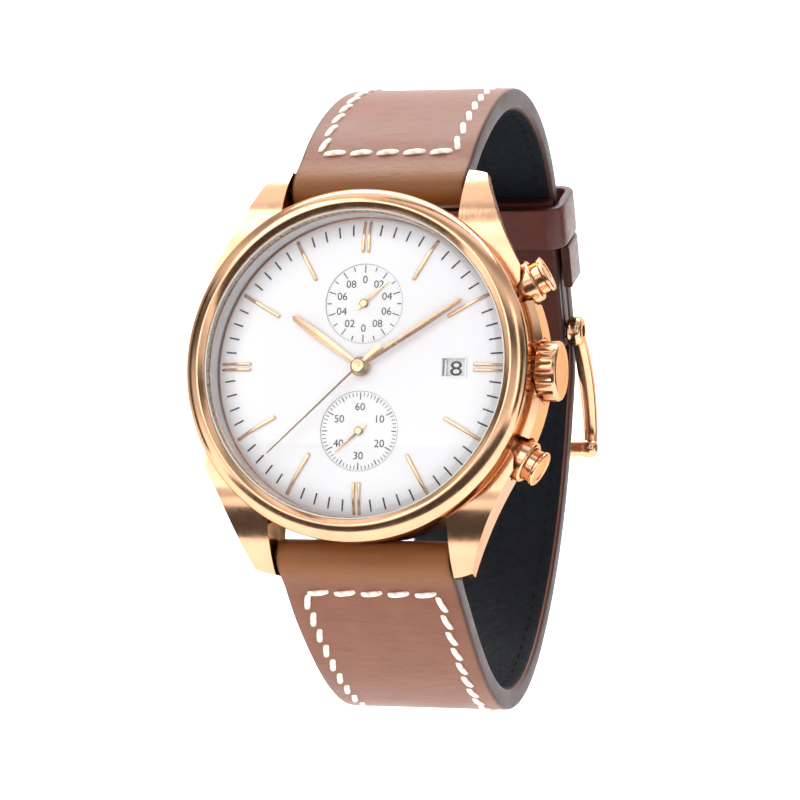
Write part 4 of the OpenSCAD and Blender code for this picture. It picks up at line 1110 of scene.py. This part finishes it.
def build_strap_6():
    roll = lug_roll(-1)
    body = body_stations(route_long, -1)
    total = body[-1][3]
    stations = list(roll)
    wear = roll_wear(roll)
    for outer, inner, half, run in body:
        stations.append((outer, inner, half * tip_taper(total - run)))
        wear.append(body_wear(run))
    sheet_piece("strap_6_leather_look", "strap_6_leather", M["leather_brown"], stations, 0.5, wear)
    lining = []
    for run, p in with_runs(route_long):
        if hypot(p[0] + BAR_DEPTH, p[1] + BAR_Z) > ROLL_CLEAR:
            half = half_width(p[0]) * tip_taper(total - run) - INLAY_MARGIN
            lining.append((beside(p, HALF_T - LINING_LOOK_T), beside(p, HALF_T), half))
    sheet_piece("strap_6_lining_look", "strap_6_lining", M["leather_navy"], lining, 0.18)


build_strap_12()
build_strap_6()


# ---- Stitches ----

STITCH_PITCH = 3.2
STITCH_LEN = 2.85
STITCH_R = 0.4
STITCH_MARGIN = 2.5
CROSS_ROW_AT = {1: 5.1, -1: 4.6}
CROSS_STITCHES = 5
DARK_STITCH = {"margin": 1.9, "pitch": 2.0, "length": 1.3, "radius": 0.17, "slant": 0.1}


def add_stitch(bm, start, end, up, radius, slant=0.0):
    """One stitch: a plump thread that dives into the leather at both ends."""
    along = end - start
    length = along.length
    along.normalize()
    side = along.cross(up).normalized()
    rings, marks = [], []
    steps, sides = 12, 8
    for i in range(steps + 1):
        t = i / steps
        arch = sin(pi * t) ** 0.35 if 0 < t < 1 else 0.0
        thick = radius * (0.55 + 0.45 * arch)
        lift = -radius * 0.9 + radius * 1.15 * arch
        centre = start + along * length * t + up * lift + side * slant * (0.5 - t)
        ring, mark = [], []
        for k in range(sides):
            a = 2 * pi * k / sides
            ring.append(centre + (side * cos(a) + up * sin(a) * 0.8) * thick)
            # The twist's phase, where the thread's colour is darkened as painted shade.
            mark.append(0.5 + 0.5 * sin(a + 14 * t))
        rings.append(ring)
        marks.append(mark)
    add_loft(bm, rings, marks={"twist": marks})


def spaced(route, first, last, pitch):
    """Places at an even pitch along a route, as (y, z, heading)."""
    out = []
    run = 0.0
    goal = first
    for a, b in zip(route, route[1:]):
        span = hypot(b[0] - a[0], b[1] - a[1])
        while run + span >= goal and goal <= last:
            t = (goal - run) / span
            out.append(tuple(a[k] + (b[k] - a[k]) * t for k in range(3)))
            goal += pitch
        run += span
    return out


def length_of(route):
    return sum(hypot(b[0] - a[0], b[1] - a[1]) for a, b in zip(route, route[1:]))


def on_sheet(place, x, d):
    p = beside(place, d)
    return Vector((x, p.x, p.y))


def sheet_up(place, side):
    h = radians(place[2])
    return Vector((0, -sin(h), cos(h))) * side


def stitch_row(bm, route, side, first, last, depth, margin, pitch, length, radius, slant):
    """A row along each edge of the strap, on the face at signed depth from the route."""
    starts = spaced(route, first, last, pitch)
    ends = spaced(route, first + length, last + length, pitch)
    for a, b in zip(starts, ends):
        for x_side in (-1, 1):
            xa = x_side * (half_width(a[0]) - margin)
            xb = x_side * (half_width(b[0]) - margin)
            up = sheet_up(a, side) if depth * side > 0 else -sheet_up(a, side)
            add_stitch(bm, on_sheet(a, xa, depth), on_sheet(b, xb, depth), up, radius,
                       slant * x_side)


def build_stitches():
    bm = bmesh.new()
    for route, side, short in ((route_12, 1, 9), (route_6, -1, 2)):
        depth = side * (HALF_T + 0.02)
        stitch_row(bm, route, side, CROSS_ROW_AT[side] + 0.3, length_of(route) - short, depth,
                   STITCH_MARGIN, STITCH_PITCH, STITCH_LEN, STITCH_R, 0.7)
        row = spaced(route, CROSS_ROW_AT[side], CROSS_ROW_AT[side] + 0.1, 1)[0]
        half = half_width(row[0]) - STITCH_MARGIN
        gap = 2 * half / CROSS_STITCHES
        for k in range(CROSS_STITCHES):
            x = -half + gap * k + 0.18
            a = on_sheet(row, x, depth)
            b = on_sheet(row, x + gap - 0.36, depth)
            add_stitch(bm, a, b, sheet_up(row, side), STITCH_R, 0.4)
    finish_mesh(bm, "stitches_cream", M["thread"], body="case", sharp=60)
    bm = bmesh.new()
    for route, side in ((route_12, 1), (route_6, -1)):
        last = length_of(route) - 21 * (side > 0)
        stitch_row(bm, route, side, CROSS_ROW_AT[side], last, -side * HALF_T, **DARK_STITCH)
    finish_mesh(bm, "stitches_dark", M["thread_dark"], body="case", sharp=60)


build_stitches()


# ---- Keepers ----

KEEPER_TILT = radians(90 + end_12[2])
STRAP_UP = Vector((0, -sin(KEEPER_TILT), cos(KEEPER_TILT)))
STRAP_OUT = Vector((0, STRAP_UP.z, -STRAP_UP.y))
END_POINT = Vector((0, end_12[0], end_12[1]))
TAIL_OUT = HALF_T + TAIL_GAP + 2 * HALF_T
KEEPER_L = 5.8
KEEPER_T = 1.2
KEEPER_SLACK = 0.3
KEEPER_HALF = STRAP_END_HALF + KEEPER_SLACK + 0.15
FIXED_AT = 6.6
FREE_AT = FIXED_AT + KEEPER_L + 0.5


def keeper_path(half, low, high, radius, closed):
    """The keeper's middle line in (x, depth), as a loop or as a U open to the wrist side."""
    corners = [(-half, low), (-half, high), (half, high), (half, low)]
    if closed:
        return rounded(corners, radius, 6)
    loop = rounded([(-half, low - 4), *corners[1:3], (half, low - 4)], radius, 6)
    return [Vector((-half, low)), *(p for p in loop if p.y > low), Vector((half, low))]


def keeper(name, node, at, low, high, closed):
    """A band of leather bent round the strap, its edges rounded."""
    t = KEEPER_T / 2
    line = keeper_path(KEEPER_HALF + t, low - t, high + t, 2.2, closed)
    profile = rounded([(0, -t), (KEEPER_L, -t), (KEEPER_L, t), (0, t)], 0.35, 3)
    rings, edges = [], []
    count = len(line)
    for i, p in enumerate(line):
        before = line[i - 1] if closed or i else p
        after = line[(i + 1) % count] if closed or i < count - 1 else p
        run = (after - before).normalized()
        normal = Vector((-run.y, run.x))
        ring, marks = [], []
        for along, out in profile:
            q = p + normal * out
            ring.append(END_POINT + STRAP_UP * (at + along) + STRAP_OUT * q.y
                        + Vector((q.x, 0, 0)))
            marks.append(1.0 if min(along, KEEPER_L - along) < 0.12 else 0.0)
        rings.append(ring)
        edges.append(marks)
    bm = bmesh.new()
    add_loft(bm, rings, closed_path=closed, marks={"edge": edges})
    finish_mesh(bm, name, M["leather_keeper"], node=node, sharp=50)


FREE_IN = -HALF_T - FLAP_T - KEEPER_SLACK
KEEPER_OUT = TAIL_OUT + KEEPER_SLACK
keeper("free_keeper_look", "free_keeper", FREE_AT, FREE_IN, KEEPER_OUT, True)
keeper("fixed_keeper_look", "fixed_keeper", FIXED_AT, -HALF_T + 0.5, KEEPER_OUT, False)


def build_keeper_pin():
    """The small rose gold pin that closes the free keeper's joint on the wrist side."""
    depth = FREE_IN - KEEPER_T
    at = (END_POINT + STRAP_UP * (FREE_AT + KEEPER_L / 2) + STRAP_OUT * (depth + 0.25)
          + Vector((3.7, 0, 0)))
    turn = Matrix((Vector((1, 0, 0)), STRAP_UP, -STRAP_OUT)).transposed().to_4x4()
    bm = bmesh.new()
    angles = [radians(a) for a in range(0, 90, 15)]
    dome = [(0.34 * cos(a), 0.22 + 0.14 * sin(a)) for a in angles]
    add_lathe(bm, [(0, 0), (0.34, 0), *dome, (0, 0.36)], 24,
              matrix=Matrix.Translation(at) @ turn)
    finish_mesh(bm, "keeper_pin", M["rose_gold"], body="free_keeper")


build_keeper_pin()


# ---- Buckle ----

FRAME_T = 2.0
FRAME_INNER = STRAP_END_HALF + 0.3
FRAME_ARM_W = 2.1
CROSSBAR_R = 1.2
CROSSBAR_NECK_R = 0.7


def tube(bm, centres, sizes, sides=20, power=2.6):
    """Sweeps a soft-cornered section along points; sizes gives each place's two half sizes."""
    rings = []
    for i, c in enumerate(centres):
        run = (centres[min(i + 1, len(centres) - 1)] - centres[max(i - 1, 0)]).normalized()
        across = Vector((1, 0, 0)) if abs(run.x) < 0.7 else Vector((0, 0, 1)).cross(run).normalized()
        out = run.cross(across).normalized()
        wide, thick = sizes[i]
        ring = []
        for k in range(sides):
            a = 2 * pi * k / sides
            ca, sa = cos(a), sin(a)
            u = math.copysign(abs(ca) ** (2 / power), ca) * wide
            v = math.copysign(abs(sa) ** (2 / power), sa) * thick
            ring.append(c + across * u + out * v)
        rings.append(ring)
    add_loft(bm, rings)


def add_cylinder(bm, x0, x1, centre, radius, hole=0.0, round_off=0.3):
    """A turned part along X, its outer corners rounded."""
    edge = min(round_off, (x1 - x0) * 0.45)
    flat = radius - edge
    outline = [(hole, x0), (flat, x0)]
    for a in (radians(a) for a in range(15, 91, 15)):
        outline.append((flat + edge * sin(a), x0 + edge - edge * cos(a)))
    for a in (radians(a) for a in range(0, 91, 15)):
        outline.append((flat + edge * cos(a), x1 - edge + edge * sin(a)))
    outline.append((hole, x1))
    matrix = Matrix.Translation((0, *centre)) @ Matrix.Rotation(radians(90), 4, "Y")
    add_lathe(bm, outline, 48, matrix=matrix)


def build_buckle():
    """The frame's soft, pillowed arms with their eyes, and the crossbar the tongue rests on."""
    arm = walk((BAR_AT.x, BAR_AT.y, -24), [(5, -18), (6, -14), (5.2, -14), (3, -30)], 0.4)
    foot = Vector(arm[-1][:2])
    mid = FRAME_INNER + FRAME_ARM_W / 2
    bm = bmesh.new()
    for side in (-1, 1):
        x0, x1 = sorted((side * (FRAME_INNER - 0.1), side * (FRAME_INNER + FRAME_ARM_W)))
        add_cylinder(bm, x0, x1, BAR_AT, 2.0, hole=HOLE_R, round_off=0.8)
        centres, sizes = [], []
        for i, p in enumerate(arm):
            t = i / (len(arm) - 1)
            if hypot(p[0] - BAR_AT.x, p[1] - BAR_AT.y) < 1.2:
                continue
            swell = 0.84 + 0.16 * sin(pi * min(1.0, t * 1.05))
            centres.append(Vector((side * mid, p[0], p[1])))
            sizes.append((FRAME_ARM_W / 2 * swell, FRAME_T / 2 * swell))
        tube(bm, centres, sizes)
        x0, x1 = sorted((side * (FRAME_INNER - 0.5), side * (FRAME_INNER + FRAME_ARM_W)))
        add_cylinder(bm, x0, x1, foot, CROSSBAR_R + 0.1, round_off=1.0)
        x0, x1 = sorted((side * 1.6, side * (FRAME_INNER + 0.4)))
        add_cylinder(bm, x0, x1, foot, CROSSBAR_R, round_off=0.4)
    add_cylinder(bm, -1.9, 1.9, foot, CROSSBAR_NECK_R, round_off=0.2)
    finish_mesh(bm, "buckle_frame_look", M["rose_gold"], node="buckle_frame", sharp=45)
    softened_copy("buckle_tongue", 0.3, segments=4, angle=40)


build_buckle()


# ---- Studio ----

FLOOR_Z = -0.125
CENTRE = (0, 0.02, 0)


def build_stage():
    bm = bmesh.new()
    width, front, back, height, bend = 6.0, -6.0, 1.1, 2.2, 0.7
    profile = [(front, 0.0), (back - bend, 0.0)]
    for a in (radians(a) for a in range(6, 91, 6)):
        profile.append((back - bend + bend * sin(a), bend * (1 - cos(a))))
    profile.append((back, height))
    left = [bm.verts.new((-width, y, FLOOR_Z + z)) for y, z in profile]
    right = [bm.verts.new((width, y, FLOOR_Z + z)) for y, z in profile]
    for i in range(len(profile) - 1):
        bm.faces.new((left[i], right[i], right[i + 1], left[i + 1])).smooth = True
    mesh = mesh_from(bm, "floor")
    obj = link_new("floor", mesh)
    mesh.materials.append(M["floor"])


def point_at(obj, at, aim):
    obj.location = at
    obj.rotation_euler = (Vector(aim) - Vector(at)).to_track_quat("-Z", "Y").to_euler()


def add_light(name, at, aim, size, power, color=(1, 1, 1)):
    data = bpy.data.lights.new(name, "AREA")
    data.shape = "RECTANGLE"
    data.size, data.size_y = size
    data.energy = power
    data.color = color
    point_at(link_new(name, data), at, aim)


def build_lights():
    world = bpy.data.worlds.new("studio")
    bpy.context.scene.world = world
    world.use_nodes = True
    tree = world.node_tree
    background = tree.nodes["Background"]
    background.inputs["Strength"].default_value = 1.0
    place = tree.nodes.new("ShaderNodeTexCoord").outputs["Generated"]
    split = tree.nodes.new("ShaderNodeSeparateXYZ")
    tree.links.new(place, split.inputs[0])
    ramp = tree.nodes.new("ShaderNodeValToRGB")
    tree.links.new(split.outputs["Z"], ramp.inputs[0])
    bands = [(0.0, 0.95), (0.1, 0.85), (0.2, 0.12), (0.36, 0.15), (0.44, 0.9), (0.56, 1.05),
             (0.66, 0.55), (0.76, 0.4), (0.86, 1.5), (1.0, 1.5)]
    while len(ramp.color_ramp.elements) < len(bands):
        ramp.color_ramp.elements.new(0.5)
    for element, (at, level) in zip(ramp.color_ramp.elements, bands):
        element.position = at
        element.color = (level, level, level, 1)
    tree.links.new(ramp.outputs["Color"], background.inputs["Color"])
    add_light("key", (-0.45, -0.55, 0.55), CENTRE, (0.4, 0.4), 1.6)
    add_light("fill", (0.7, -0.45, 0.15), CENTRE, (0.25, 0.6), 0.8)
    add_light("front", (-0.25, -0.95, 0.35), CENTRE, (0.9, 0.6), 3.4)
    add_light("top", (0.0, 0.15, 0.8), CENTRE, (0.6, 0.3), 1.0)
    add_light("backdrop", (0, 0.35, 1.2), (0, 0.9, 0.1), (1.6, 0.6), 26)
    bpy.context.scene.view_settings.view_transform = "Standard"


def add_flag(name, at, aim, size):
    """A black card, hidden from the camera, the picture that gives polished metal a dark reflection."""
    bm = bmesh.new()
    w, h = size[0] / 2, size[1] / 2
    bm.faces.new([bm.verts.new(p) for p in ((-w, -h, 0), (w, -h, 0), (w, h, 0), (-w, h, 0))])
    mesh = mesh_from(bm, name)
    obj = link_new(name, mesh)
    point_at(obj, at, aim)
    mesh.materials.append(M["flag"])
    obj.visible_camera = False
    obj.visible_shadow = False
    obj.visible_diffuse = False


def build_flags():
    add_flag("flag_right", (0.5, -0.16, -0.02), CENTRE, (0.2, 0.5))
    add_flag("flag_edge", (0.42, 0.3, 0.05), CENTRE, (0.3, 0.4))
    add_flag("flag_left", (-0.42, -0.02, -0.02), CENTRE, (0.14, 0.5))
    add_flag("flag_low", (0.05, -0.24, -0.118), (0.05, -0.24, 1.0), (0.6, 0.3))
    add_flag("flag_high", (0.1, -0.1, 0.5), CENTRE, (0.5, 0.07))


build_stage()
build_lights()
build_flags()
